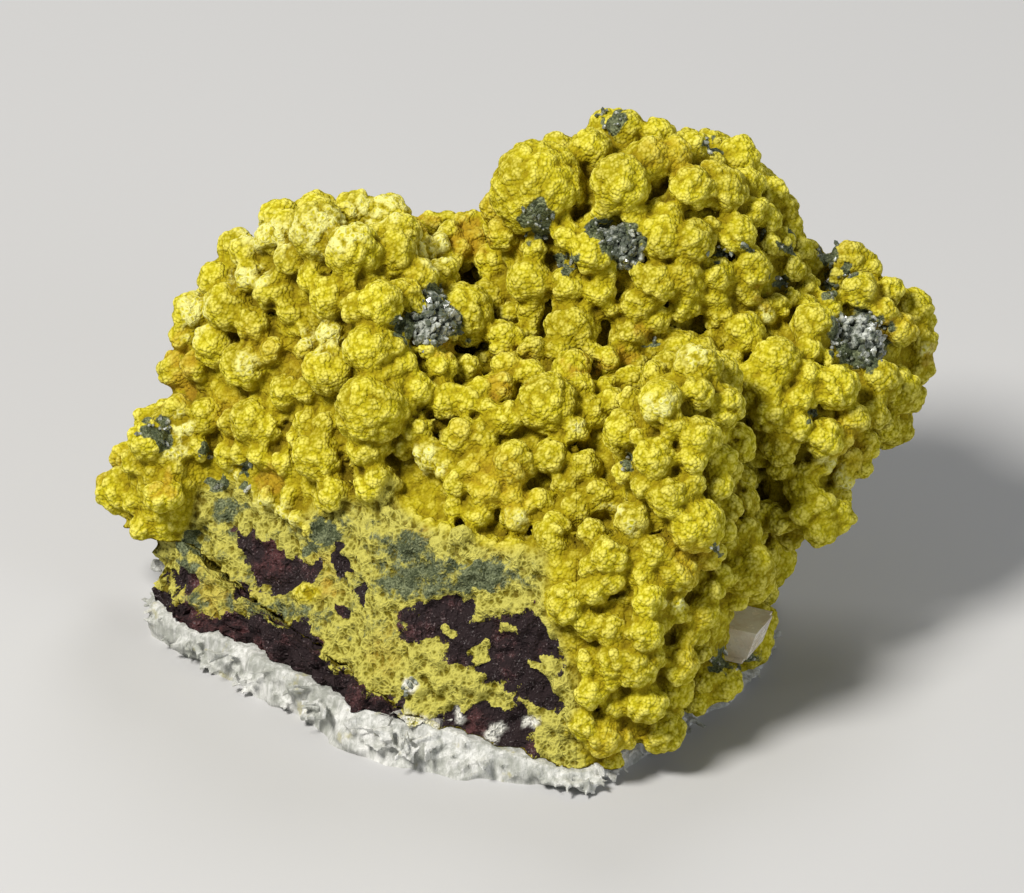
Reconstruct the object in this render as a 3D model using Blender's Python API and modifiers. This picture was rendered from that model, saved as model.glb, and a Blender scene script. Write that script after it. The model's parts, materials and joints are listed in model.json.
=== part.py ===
"""Gartrellite on its matrix, a hand specimen about 50 mm wide.

A yellow-green botryoidal crust, broken clean down its front left side, lies on a bed of dark iron
oxide and a slab of white crystalline matrix. A pale cleavage crystal and three patches of grey
quartz druse sit in pockets of the crust.

Metres, +Z up, +X to the right and -Y towards the viewer. The slab's flat underside is at Z = 0.
Lengths below are in millimetres and are multiplied by MM where a mesh is made.
"""

import math
import random
from typing import NamedTuple

import bmesh
import bpy
from mathutils import Euler, Matrix, Vector, noise
from mathutils.bvhtree import BVHTree

MM = 0.001
GAP = 0.3
SEED = 29

# How the places of the lumps were read: a view from the front and above, in pixels
MM_PER_PIXEL = 0.06
VIEW_CENTRE = (516, 452)
VIEW_ELEVATION = math.radians(30)
VIEW_CENTRE_RISE = 11.5
VIEW_UP = Vector((0, math.sin(VIEW_ELEVATION), math.cos(VIEW_ELEVATION)))
VIEW_FORWARD = Vector((0, math.cos(VIEW_ELEVATION), -math.sin(VIEW_ELEVATION)))
VIEW_DISTANCE = 80

# Mesh fineness
BODY_VOXEL = 0.6
CRUST_VOXEL = 0.4
CRUST_TRIANGLES = 7000
ROCK_TRIANGLES = 520
LAYER_GRID_STEP = 3.6
SMALLEST_LUMP_PIXELS = 13

# How far a lump's centre stands out of the body, as a share of its radius
LUMP_PROUD = 0.42
LUMP_REACH = 0.6
LUMP_UNEVENNESS = 0.1
FILL_LUMP_RADII = (0.85, 1.7)
FILL_LUMP_TRIES = 3000
FILL_LUMP_SPACING = 0.85
LOWEST_LUMP = 2.6
BREAK_MARGIN = 0.9
CRYSTAL_CLEARANCE = 1.9


class Form(NamedTuple):
    """One rounded mass of the body: its centre and its half-axes."""

    centre: tuple
    half_axes: tuple


class Patch(NamedTuple):
    """A patch of druse: where it is seen, its two half-widths, its turn and its number of points."""

    pixel: tuple
    half_width: float
    half_height: float
    turn: float
    points: int


BODY_FORMS = {
    "left mound": Form((-11.0, 5.0, 14.0), (9.8, 9.3, 11.4)),
    "low left lobe": Form((-20.8, 5.6, 7.8), (2.5, 4.2, 5.2)),
    "plateau": Form((2.4, 2.0, 10.0), (13.0, 11.0, 9.8)),
    "saddle": Form((-2.5, 10.6, 15.4), (6.0, 4.4, 7.1)),
    "back peak": Form((7.4, 8.8, 18.8), (9.8, 6.2, 10.6)),
    "right shelf": Form((15.4, 5.2, 14.9), (7.1, 7.4, 5.3)),
    "far right lobe": Form((20.2, 9.0, 15.2), (3.8, 3.9, 5.0)),
    "shelf's lower lobe": Form((17.2, -0.2, 10.0), (2.8, 3.0, 2.6)),
    "near ridge": Form((9.2, -6.2, 9.8), (4.4, 6.6, 12.6)),
    "near toe": Form((5.4, -11.0, 6.0), (4.8, 5.4, 8.0)),
}

# Hollows between the masses, cut out of them
BODY_HOLLOWS = {
    "trench beside the mound": Form((-2.4, 4.6, 21.4), (1.5, 6.4, 4.2)),
    "cleft beside the ridge": Form((13.9, -4.6, 13.6), (1.5, 4.6, 7.4)),
    "hollow under the mound": Form((-9.8, -5.4, 14.8), (1.0, 2.6, 1.8)),
    "hollow under the peak": Form((8.8, 3.6, 26.8), (1.1, 2.4, 1.4)),
}

# The block's outline where it rests, from its left end round by the near corner to its back
FOOT_OUTLINE = (
    (-21.6, 0.6), (-15.4, -6.4), (-7.6, -14.6), (0.4, -15.6), (4.2, -17.6), (8.0, -12.4),
    (12.6, -6.6), (15.0, -0.8), (13.6, 8.0), (8.0, 14.2), (-2.0, 16.2), (-12.0, 14.4), (-20.4, 8.6),
)
BLOCK_TOP = 13.0
BLOCK_TOP_OUTLINE = (
    (-22.0, 4.0), (-12.8, -2.0), (-5.0, -9.0), (1.0, -10.4), (4.6, -12.4), (8.0, -9.6),
    (12.0, -4.4), (14.0, -0.2), (12.6, 7.6), (7.0, 12.8), (-2.0, 14.6), (-11.0, 12.8), (-18.4, 8.2),
)

# The broken side: two flat faces that lean back and meet at the foot's front left corner
BREAK_LEAN = math.radians(22)
BREAK_FEET = (((-21.6, 0.6), (-7.6, -14.6)), ((-7.6, -14.6), (4.2, -17.8)))
BREAK_TOP = 14.6
BREAK_LEFT_END = -20.6
BREAK_RIGHT_END = 4.6

# The foot's rough side
ROUGH_WAVELENGTHS = (2.2, 5.0)
ROUGH_HEIGHT = 0.7
ROUGH_REACH = 0.25

# The slab is thickest on the left, and the bed falls below its top on the right
SLAB_TOP_LEFT = 2.3
SLAB_TOP_RIGHT = 1.4
SLAB_THIN_FROM = -10.0
SLAB_THIN_TO = 6.0
SLAB_WAVE = 0.8
BED_LEFT_END = -21.0
BED_TOP_LEFT = 6.0
BED_FALL = 0.215
BED_WAVE = 0.5
BED_LEAST = 0.5
LAYER_WAVELENGTH = 9.0
LAYER_SPAN = 62.0
LAYER_HEADROOM = 60.0

# Lumps as seen in the view: x, y and radius in pixels
LEFT_MOUND_LUMPS = (
    (357, 207, 18), (388, 215, 20), (320, 232, 26), (288, 230, 15), (270, 238, 14), (246, 252, 13),
    (354, 252, 24), (395, 256, 21), (292, 260, 15), (412, 236, 13), (436, 250, 15), (452, 262, 10),
    (218, 280, 17), (252, 278, 15), (275, 292, 18), (315, 280, 15), (290, 311, 13), (232, 307, 23),
    (256, 326, 17), (193, 312, 19), (333, 298, 20), (360, 310, 16), (382, 305, 21), (352, 284, 10),
    (420, 278, 16), (444, 272, 13), (405, 294, 14), (417, 306, 11), (456, 296, 15), (464, 260, 10),
    (214, 346, 19), (198, 366, 14), (183, 336, 14), (178, 370, 18), (248, 365, 22), (275, 352, 13),
    (331, 370, 23), (333, 337, 14), (308, 350, 11), (288, 392, 15), (307, 390, 12), (371, 350, 22),
    (394, 347, 12), (388, 380, 13), (372, 410, 30), (398, 408, 14), (405, 366, 13), (417, 391, 16),
    (428, 349, 9), (441, 368, 14), (467, 369, 13), (450, 333, 8), (448, 400, 18), (468, 402, 16),
    (252, 420, 20), (270, 428, 14), (232, 424, 13), (207, 418, 17), (308, 422, 12), (329, 425, 12),
    (296, 440, 9), (320, 456, 22), (370, 450, 18), (378, 485, 22), (418, 430, 15), (404, 447, 10),
    (430, 455, 14), (446, 466, 12), (463, 437, 17), (482, 433, 12), (488, 447, 10),
)
LOW_LEFT_LUMPS = (
    (118, 490, 21), (126, 545, 18), (134, 462, 12), (148, 440, 18), (142, 530, 12), (165, 495, 16),
    (197, 450, 12), (228, 455, 12), (245, 452, 12), (265, 455, 13), (180, 410, 15), (145, 418, 10),
    (190, 430, 12), (334, 495, 16), (270, 497, 10), (290, 495, 8), (300, 520, 10), (310, 530, 9),
    (285, 512, 8), (284, 462, 12),
)
VALLEY_LUMPS = (
    (430, 222, 14), (447, 218, 12), (450, 234, 12), (468, 222, 12), (475, 240, 12), (490, 222, 11),
    (462, 248, 10), (503, 235, 16), (493, 261, 17), (536, 250, 12), (495, 301, 21), (531, 282, 21),
    (532, 310, 13), (510, 313, 10), (482, 340, 14), (505, 340, 17), (532, 350, 13), (530, 328, 10),
    (484, 363, 11), (507, 367, 14), (484, 390, 13), (503, 388, 12), (492, 412, 12), (508, 418, 15),
    (531, 375, 13),
)
PLATEAU_LUMPS = (
    (567, 286, 16), (568, 306, 13), (572, 330, 25), (598, 292, 15), (608, 309, 11), (566, 236, 13),
    (592, 253, 20), (604, 272, 12), (572, 368, 17), (578, 387, 16), (548, 405, 26), (573, 430, 15),
    (594, 412, 14), (612, 402, 14), (630, 400, 12), (608, 385, 11), (632, 382, 14), (627, 338, 18),
    (652, 320, 14), (670, 338, 10), (638, 305, 15), (655, 284, 20), (682, 275, 17), (688, 290, 14),
    (684, 308, 14), (716, 276, 16), (714, 296, 13), (744, 290, 14), (718, 315, 15), (742, 335, 20),
    (712, 343, 10), (762, 312, 12), (776, 308, 12), (750, 268, 20), (791, 268, 13), (805, 288, 15),
    (790, 298, 10), (804, 306, 11), (812, 328, 21), (828, 305, 13), (770, 246, 9), (810, 246, 11),
    (735, 235, 18), (712, 228, 10), (752, 212, 14), (660, 238, 21), (690, 242, 21), (665, 215, 16),
    (632, 214, 12), (634, 230, 10), (602, 213, 10), (636, 272, 9), (610, 360, 12), (590, 352, 10),
    (555, 352, 9), (655, 355, 12), (730, 362, 12), (748, 378, 12), (745, 402, 12),
)
PEAK_LUMPS = (
    (538, 190, 40), (534, 150, 14), (557, 152, 16), (574, 143, 9), (590, 152, 18), (620, 185, 26),
    (625, 128, 16), (656, 138, 16), (648, 160, 21), (673, 158, 17), (693, 148, 14), (738, 158, 20),
    (692, 190, 20), (712, 180, 17), (725, 192, 20), (745, 185, 16), (770, 195, 16), (788, 208, 14),
    (768, 220, 13), (788, 225, 12), (755, 175, 10),
)
RIGHT_SHELF_LUMPS = (
    (848, 250, 18), (866, 252, 13), (838, 278, 9), (860, 292, 16), (872, 272, 10), (888, 290, 13),
    (913, 310, 18), (900, 330, 15), (925, 340, 14), (926, 365, 13), (882, 312, 13), (775, 362, 21),
    (768, 388, 14), (806, 350, 14), (808, 378, 14), (800, 398, 13), (825, 357, 8), (834, 388, 20),
    (878, 382, 18), (907, 395, 16), (872, 412, 14), (852, 418, 14), (917, 372, 12), (890, 428, 12),
    (865, 445, 13), (858, 464, 13), (770, 415, 17), (797, 428, 13), (822, 438, 18), (838, 440, 12),
    (755, 448, 16), (778, 448, 16), (760, 433, 12), (778, 468, 11), (821, 463, 12), (845, 460, 14),
    (840, 480, 11), (805, 475, 12), (745, 475, 13), (740, 510, 18), (765, 515, 14), (752, 533, 12),
    (795, 490, 11), (806, 490, 12), (818, 505, 14), (836, 515, 15), (818, 528, 15), (800, 515, 12),
    (780, 520, 12), (770, 556, 13), (746, 568, 20), (767, 592, 12), (750, 592, 12), (735, 597, 10),
)
NEAR_RIDGE_LUMPS = (
    (688, 364, 27), (718, 395, 18), (695, 395, 15), (660, 405, 21), (672, 425, 13), (622, 432, 19),
    (640, 440, 10), (696, 436, 20), (690, 460, 14), (718, 460, 15), (728, 430, 10), (652, 458, 18),
    (625, 472, 12), (552, 457, 17), (565, 485, 12), (583, 467, 15), (514, 464, 20), (512, 497, 13),
    (516, 518, 15), (538, 502, 13), (475, 470, 15), (460, 482, 15), (488, 488, 18), (478, 514, 13),
    (457, 508, 11), (578, 508, 18), (600, 498, 18), (645, 485, 14), (668, 498, 19), (690, 484, 11),
    (715, 484, 13), (694, 524, 24), (632, 520, 17), (628, 545, 12), (655, 553, 17), (674, 572, 19),
    (640, 572, 12), (706, 552, 15), (720, 575, 12), (722, 530, 10), (610, 555, 18), (590, 565, 12),
    (592, 535, 15), (553, 535, 20), (560, 514, 11), (566, 602, 19), (592, 590, 13), (586, 623, 13),
    (608, 627, 15), (612, 577, 12), (648, 600, 16), (668, 600, 13), (643, 632, 17), (618, 658, 18),
    (635, 668, 17), (612, 675, 12), (654, 655, 10), (590, 660, 14), (675, 662, 20), (675, 688, 17),
    (700, 612, 15), (695, 630, 12), (682, 634, 12), (714, 638, 12), (678, 612, 11), (710, 590, 12),
    (716, 680, 20), (702, 680, 11), (695, 698, 14), (590, 690, 14), (645, 700, 18), (602, 735, 17),
    (625, 735, 11), (583, 722, 15), (610, 757, 11), (700, 652, 9),
)
SEEN_LUMPS = (
    LEFT_MOUND_LUMPS + LOW_LEFT_LUMPS + VALLEY_LUMPS + PLATEAU_LUMPS + PEAK_LUMPS
    + RIGHT_SHELF_LUMPS + NEAR_RIDGE_LUMPS
)

# The pale crystal low on the right, which stands on the slab's edge, and the three patches of druse
CRYSTAL_CENTRE = (12.9, -6.3, 4.5)
CRYSTAL_SIZE = (3.4, 3.0, 2.2)
CRYSTAL_LEAN = (0.3, 0.15)
CRYSTAL_TURN = math.radians(-24)
CRYSTAL_WORN_EDGE = 0.12
DRUSE_PATCHES = {
    "quartz_druse_left": Patch((432, 322), 2.1, 1.7, math.radians(25), 11),
    "quartz_druse_top": Patch((622, 246), 1.7, 1.2, math.radians(-40), 8),
    "quartz_druse_right": Patch((858, 340), 1.9, 1.8, math.radians(-50), 11),
}
DRUSE_THICKNESS = 1.3
DRUSE_RISE = 0.5
DRUSE_TAPER = (0.9, 0.98)
DRUSE_POINT_SPREAD = 0.8
DRUSE_POINT_RADII = (0.3, 0.5)
DRUSE_POINT_HEIGHT = 1.3
DRUSE_POINT_SHOULDER = 0.8
DRUSE_POINT_SINK = 0.4
DRUSE_POINT_LEAN = math.radians(25)
GOLDEN_ANGLE = math.radians(137.5)
POCKET_REACH = 4.0
POCKET_SIDES = 14
PROBE_PIXELS = 12

# Base colour, roughness and metallic value of each mineral
FINISHES = {
    "gartrellite_crust": ((0.42, 0.36, 0.03, 1.0), 0.85, 0.0),
    "iron_oxide_layer": ((0.035, 0.017, 0.015, 1.0), 0.75, 0.0),
    "white_matrix": ((0.68, 0.67, 0.62, 1.0), 0.6, 0.0),
    "calcite_crystal": ((0.74, 0.64, 0.52, 1.0), 0.25, 0.0),
    "quartz_druse_left": ((0.20, 0.21, 0.18, 1.0), 0.3, 0.0),
    "quartz_druse_top": ((0.20, 0.21, 0.18, 1.0), 0.3, 0.0),
    "quartz_druse_right": ((0.20, 0.21, 0.18, 1.0), 0.3, 0.0),
}


def clear_scene():
    """Takes out whatever the file held before."""
    for item in list(bpy.data.objects):
        bpy.data.objects.remove(item, do_unlink=True)
    for collection in list(bpy.data.collections):
        bpy.data.collections.remove(collection)


def new_collection(name):
    """A collection linked to the scene."""
    collection = bpy.data.collections.new(name)
    bpy.context.scene.collection.children.link(collection)
    return collection


def object_from(shape, name, collection):
    """Turns a bmesh into an object of the collection, and frees the bmesh."""
    bmesh.ops.recalc_face_normals(shape, faces=shape.faces)
    mesh = bpy.data.meshes.new(name)
    shape.to_mesh(mesh)
    shape.free()
    made = bpy.data.objects.new(name, mesh)
    collection.objects.link(made)
    return made


def bake_modifiers(made):
    """Applies an object's modifiers to its mesh."""
    graph = bpy.context.evaluated_depsgraph_get()
    before = made.data
    made.data = bpy.data.meshes.new_from_object(made.evaluated_get(graph))
    made.modifiers.clear()
    bpy.data.meshes.remove(before)


def fuse(made, voxel):
    """Joins the overlapping bodies of an object into one closed skin."""
    remesh = made.modifiers.new("Fuse", "REMESH")
    remesh.mode = "VOXEL"
    remesh.voxel_size = voxel * MM
    bake_modifiers(made)


def thin_out(made, triangles):
    """Collapses edges until the mesh holds about this many triangles."""
    made.data.calc_loop_triangles()
    decimate = made.modifiers.new("Thin out", "DECIMATE")
    decimate.ratio = min(1.0, triangles / len(made.data.loop_triangles))
    decimate.use_collapse_triangulate = True
    bake_modifiers(made)


def trim(made, cutter, operation):
    """Cuts an object with a cutter, or keeps only what they share."""
    cut = made.modifiers.new("Trim", "BOOLEAN")
    cut.operation = operation
    cut.solver = "EXACT"
    cut.object = cutter
    bake_modifiers(made)


def add_ball(shape, centre, half_axes, subdivisions):
    """Adds a ball, scaled to its half-axes, to a bmesh. Lengths are in millimetres."""
    place = Matrix.Translation(Vector(centre) * MM)
    scale = Matrix.Diagonal((*(Vector(half_axes) * MM), 1.0))
    made = bmesh.ops.create_icosphere(shape, subdivisions=subdivisions, radius=1.0, matrix=place @ scale)
    return made["verts"]


def add_hull(shape, corners):
    """Adds the convex hull of some corners, in millimetres, to a bmesh."""
    verts = [shape.verts.new(Vector(corner) * MM) for corner in corners]
    made = bmesh.ops.convex_hull(shape, input=verts)
    inside = [item for item in made["geom_interior"] if isinstance(item, bmesh.types.BMVert)]
    bmesh.ops.delete(shape, geom=inside, context="VERTS")


def block_corners(outline_bottom, bottom, outline_top, top):
    """The corners of a block that stands on one outline and ends in another."""
    return [(x, y, bottom) for x, y in outline_bottom] + [(x, y, top) for x, y in outline_top]


def break_plane(foot):
    """A point of a broken face and its outward normal. The face leans back from its foot."""
    (ax, ay), (bx, by) = foot
    along = Vector((bx - ax, by - ay, 0)).normalized()
    outward = Vector((along.y, -along.x, 0))
    return Vector((ax, ay, 0)) * MM, outward * math.cos(BREAK_LEAN) + Vector((0, 0, math.sin(BREAK_LEAN)))


BREAK_PLANES = tuple(break_plane(foot) for foot in BREAK_FEET)


def break_depth(point):
    """How far a point lies outside the broken side, in metres. It is below zero inside the stone."""
    return max((point - origin).dot(normal) for origin, normal in BREAK_PLANES)


def slice_off(shape, origin, normal):
    """Cuts away what lies beyond a plane, and closes the cut."""
    everything = shape.verts[:] + shape.edges[:] + shape.faces[:]
    cut = bmesh.ops.bisect_plane(
        shape, geom=everything, plane_co=origin, plane_no=normal, clear_outer=True
    )
    rim = [item for item in cut["geom_cut"] if isinstance(item, bmesh.types.BMEdge)]
    bmesh.ops.triangle_fill(shape, edges=rim, use_beauty=True, use_dissolve=False)


def make_body(collection):
    """The stone's mass without its lumps: the block and the rounded forms, cut by the broken side."""
    shape = bmesh.new()
    add_hull(shape, block_corners(FOOT_OUTLINE, -1.0, BLOCK_TOP_OUTLINE, BLOCK_TOP))
    for form in BODY_FORMS.values():
        add_ball(shape, form.centre, form.half_axes, 4)
    body = object_from(shape, "body", collection)
    fuse(body, BODY_VOXEL)
    for name, hollow in BODY_HOLLOWS.items():
        shape = bmesh.new()
        add_ball(shape, hollow.centre, hollow.half_axes, 3)
        cutter = object_from(shape, name, collection)
        trim(body, cutter, "DIFFERENCE")
        bpy.data.objects.remove(cutter, do_unlink=True)
    shape = bmesh.new()
    shape.from_mesh(body.data)
    for origin, normal in BREAK_PLANES:
        slice_off(shape, origin, normal)
    lobe = BODY_FORMS["low left lobe"]
    add_ball(shape, lobe.centre, lobe.half_axes, 4)
    shape.to_mesh(body.data)
    shape.free()
    fuse(body, BODY_VOXEL)
    return body


def sight_line(pixel):
    """The start of the line of sight through a pixel of the view, in metres."""
    across = (pixel[0] - VIEW_CENTRE[0]) * MM_PER_PIXEL
    up = (VIEW_CENTRE[1] - pixel[1]) * MM_PER_PIXEL + VIEW_CENTRE_RISE
    return (Vector((across, 0, 0)) + VIEW_UP * up - VIEW_FORWARD * VIEW_DISTANCE) * MM


def place_on(tree, pixel):
    """The body's point seen at a pixel and its normal, or its nearest point to the sight line."""
    start = sight_line(pixel)
    point, normal, _, _ = tree.ray_cast(start, VIEW_FORWARD)
    if point is not None:
        return point, normal
    steps = [start + VIEW_FORWARD * (step * MM) for step in range(2 * VIEW_DISTANCE)]
    nearest = min(steps, key=lambda step: tree.find_nearest(step)[3])
    point, normal, _, _ = tree.find_nearest(nearest)
    return point, normal


def lump_centre(tree, pixel, radius):
    """Where a lump seen at a pixel sits: on its sight line, and no further out than it can hold on."""
    start = sight_line(pixel)
    point, _, _, _ = tree.ray_cast(start, VIEW_FORWARD)
    if point is not None:
        return point - VIEW_FORWARD * (LUMP_PROUD * radius * MM)
    surface, _ = place_on(tree, pixel)
    on_line = start + VIEW_FORWARD * (surface - start).dot(VIEW_FORWARD)
    away = on_line - surface
    reach = LUMP_REACH * radius * MM
    if away.length > reach:
        away.length = reach
    return surface + away


def seen_lumps(tree):
    """(centre, radius) of each lump that was read from the view. Centres are in metres."""
    lumps = []
    for x, y, pixels in SEEN_LUMPS:
        if pixels >= SMALLEST_LUMP_PIXELS:
            radius = pixels * MM_PER_PIXEL
            lumps.append((lump_centre(tree, (x, y), radius), radius))
    return lumps


def bare(point):
    """Whether a point lies where no lump grows: low on the foot, by the crystal or on the broken side."""
    if point.z < LOWEST_LUMP * MM or (point - Vector(CRYSTAL_CENTRE) * MM).length < CRYSTAL_CLEARANCE * MM:
        return True
    on_break = BREAK_LEFT_END * MM < point.x < BREAK_RIGHT_END * MM and point.z < BREAK_TOP * MM
    return on_break and break_depth(point) > -BREAK_MARGIN * MM


def fill_lumps(body, lumps, chance):
    """(centre, radius) of lumps that cover the other sides, wherever there is still room for one."""
    body.data.calc_loop_triangles()
    triangles = body.data.loop_triangles
    areas = [triangle.area for triangle in triangles]
    added = []
    for triangle in chance.choices(triangles, weights=areas, k=FILL_LUMP_TRIES):
        corners = [body.data.vertices[index].co for index in triangle.vertices]
        point = sum(corners, Vector()) / 3
        radius = chance.uniform(*FILL_LUMP_RADII)
        if bare(point):
            continue
        if all(
            (point - centre).length > FILL_LUMP_SPACING * (radius + other) * MM
            for centre, other in lumps + added
        ):
            added.append((point + triangle.normal * (LUMP_PROUD * radius * MM), radius))
    return added


def add_lumps(shape, lumps, chance):
    """Adds each lump to a bmesh as a slightly uneven ball."""
    for centre, radius in lumps:
        half_axes = [radius * (1 + chance.uniform(-LUMP_UNEVENNESS, LUMP_UNEVENNESS)) for _ in range(3)]
        add_ball(shape, centre / MM, half_axes, 2)


def slab_top(x, y):
    """Height of the white slab's upper side, in millimetres."""
    wave = noise.noise(Vector((x / LAYER_WAVELENGTH, y / LAYER_WAVELENGTH, 0.0)))
    to_left = max(0.0, min(1.0, (SLAB_THIN_TO - x) / (SLAB_THIN_TO - SLAB_THIN_FROM)))
    return SLAB_TOP_RIGHT + (SLAB_TOP_LEFT - SLAB_TOP_RIGHT) * to_left + SLAB_WAVE * wave


def bed_top(x, y):
    """Height of the dark bed's upper side, which falls below the slab's on the right."""
    wave = noise.noise(Vector((x / LAYER_WAVELENGTH, y / LAYER_WAVELENGTH, 7.0)))
    return max(BED_LEAST, BED_TOP_LEFT - BED_FALL * max(0.0, x - BED_LEFT_END) + BED_WAVE * wave)


def bed_floor(x, y):
    """Height at which the bed starts: a gap above the slab."""
    return slab_top(x, y) + GAP


def crust_floor(x, y):
    """Height at which the crust starts: a gap above the bed, or above the slab where the bed ends."""
    return max(slab_top(x, y), bed_top(x, y)) + GAP


def make_layer_cutter(name, height, upper, collection):
    """A closed solid above a wavy surface, or below it down to Z = 0."""
    steps = round(LAYER_SPAN / LAYER_GRID_STEP)
    shape = bmesh.new()
    bmesh.ops.create_grid(shape, x_segments=steps, y_segments=steps, size=0.5 * LAYER_SPAN * MM)
    for vert in shape.verts:
        vert.co.z = height(vert.co.x / MM, vert.co.y / MM) * MM
    bmesh.ops.triangulate(shape, faces=shape.faces)
    wave = shape.faces[:]
    walls = bmesh.ops.extrude_face_region(shape, geom=wave)
    for item in walls["geom"]:
        if isinstance(item, bmesh.types.BMVert):
            item.co.z = LAYER_HEADROOM * MM if upper else 0.0
    return object_from(shape, name, collection)


def make_rock(collection):
    """The foot of the block with a rough side, which the slab and the bed are cut from."""
    shape = bmesh.new()
    add_hull(shape, block_corners(FOOT_OUTLINE, -1.0, BLOCK_TOP_OUTLINE, BLOCK_TOP))
    rock = object_from(shape, "rock", collection)
    fuse(rock, BODY_VOXEL)
    for vert in rock.data.vertices:
        place = vert.co / MM
        rough = ROUGH_HEIGHT * sum(noise.noise(place / length) for length in ROUGH_WAVELENGTHS)
        outward = Vector((place.x, place.y, 0)).normalized()
        vert.co += outward * ((ROUGH_REACH + rough) * MM)
    thin_out(rock, ROCK_TRIANGLES)
    return rock


def copy_of(source, name, collection):
    """A copy of an object with a mesh of its own."""
    made = bpy.data.objects.new(name, source.data.copy())
    collection.objects.link(made)
    return made


def make_crust(body, tree, collection):
    """The crust: the body with all its lumps, down to the bed."""
    chance = random.Random(SEED)
    lumps = seen_lumps(tree)
    lumps += fill_lumps(body, lumps, chance)
    shape = bmesh.new()
    shape.from_mesh(body.data)
    add_lumps(shape, lumps, chance)
    crust = object_from(shape, "gartrellite_crust", collection)
    fuse(crust, CRUST_VOXEL)
    thin_out(crust, CRUST_TRIANGLES)
    return crust


def druse_place(tree, patch):
    """The frame of a druse patch: on the body where it is seen, with +Z out of the surface."""
    point, _ = place_on(tree, patch.pixel)
    x, y = patch.pixel
    offsets = (-PROBE_PIXELS, 0, PROBE_PIXELS)
    around = [(x + across, y + down) for across in offsets for down in offsets]
    normal = sum((place_on(tree, pixel)[1] for pixel in around), Vector()).normalized()
    turned = normal.to_track_quat("Z", "Y").to_matrix().to_4x4() @ Matrix.Rotation(patch.turn, 4, "Z")
    return Matrix.Translation(point + normal * (DRUSE_RISE * MM)) @ turned


def make_pocket(name, patch, place, collection):
    """An oval cutter round a druse patch, from a gap under its plate out through the lumps."""
    depth = DRUSE_THICKNESS + GAP
    length = depth + POCKET_REACH
    size = Matrix.Diagonal(
        ((patch.half_width + GAP) * MM, (patch.half_height + GAP) * MM, length * MM, 1.0)
    )
    lift = Matrix.Translation((0, 0, 0.5 * (POCKET_REACH - depth) * MM))
    shape = bmesh.new()
    bmesh.ops.create_cone(
        shape, cap_ends=True, segments=POCKET_SIDES, radius1=1.0, radius2=1.0, depth=1.0,
        matrix=place @ lift @ size,
    )
    return object_from(shape, name, collection)


def make_point(name, place, radius, collection):
    """A six-sided quartz point that ends in a pyramid."""
    corners = []
    for side in range(6):
        angle = math.radians(60 * side)
        x, y = radius * math.cos(angle), radius * math.sin(angle)
        corners += [(x, y, 0.0), (x, y, DRUSE_POINT_SHOULDER)]
    shape = bmesh.new()
    add_hull(shape, corners + [(0.0, 0.0, DRUSE_POINT_HEIGHT)])
    bmesh.ops.transform(shape, matrix=place, verts=shape.verts)
    return object_from(shape, name, collection)


def make_druse(name, patch, place, collection):
    """A plate of druse with small quartz points standing on it, fused into one solid."""
    chance = random.Random(name)
    size = Matrix.Diagonal((patch.half_width * MM, patch.half_height * MM, DRUSE_THICKNESS * MM, 1.0))
    lift = Matrix.Translation((0, 0, -0.5 * DRUSE_THICKNESS * MM))
    shape = bmesh.new()
    bmesh.ops.create_cone(
        shape, cap_ends=True, segments=POCKET_SIDES, radius1=DRUSE_TAPER[0], radius2=DRUSE_TAPER[1],
        depth=1.0, matrix=place @ lift @ size,
    )
    druse = object_from(shape, name, collection)
    for index in range(patch.points):
        angle = index * GOLDEN_ANGLE
        out = DRUSE_POINT_SPREAD * math.sqrt((index + 0.5) / patch.points)
        across = out * patch.half_width * math.cos(angle)
        along = out * patch.half_height * math.sin(angle)
        foot = Matrix.Translation((across * MM, along * MM, -DRUSE_POINT_SINK * MM))
        lean = Euler([chance.uniform(-DRUSE_POINT_LEAN, DRUSE_POINT_LEAN) for _ in "XYZ"])
        radius = chance.uniform(*DRUSE_POINT_RADII)
        place_of_point = place @ foot @ lean.to_matrix().to_4x4()
        point = make_point(f"{name} point {index}", place_of_point, radius, collection)
        trim(druse, point, "UNION")
        bpy.data.objects.remove(point, do_unlink=True)
    return druse


def crystal_block(name, margin, collection):
    """A leaning six-faced block in the crystal's place, larger than it all round by a margin."""
    size = Matrix.Diagonal((*((Vector(CRYSTAL_SIZE) + Vector((2, 2, 2)) * margin) * MM), 1.0))
    lean = Matrix.Identity(4)
    lean[0][2], lean[1][2] = CRYSTAL_LEAN
    place = Matrix.Translation(Vector(CRYSTAL_CENTRE) * MM) @ Matrix.Rotation(CRYSTAL_TURN, 4, "Z")
    shape = bmesh.new()
    bmesh.ops.create_cube(shape, size=1.0, matrix=place @ lean @ size)
    return object_from(shape, name, collection)


def make_crystal(collection):
    """The pale cleavage crystal, its edges a little worn."""
    crystal = crystal_block("calcite_crystal", 0.0, collection)
    bevel = crystal.modifiers.new("Worn edges", "BEVEL")
    bevel.width = CRYSTAL_WORN_EDGE * MM
    bevel.segments = 1
    return crystal


def dress(made):
    """Gives a mineral its own material."""
    colour, roughness, metallic = FINISHES[made.name]
    material = bpy.data.materials.new(made.name)
    material.use_nodes = True
    shader = material.node_tree.nodes["Principled BSDF"]
    shader.inputs["Base Color"].default_value = colour
    shader.inputs["Roughness"].default_value = roughness
    shader.inputs["Metallic"].default_value = metallic
    made.data.materials.clear()
    made.data.materials.append(material)


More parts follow.
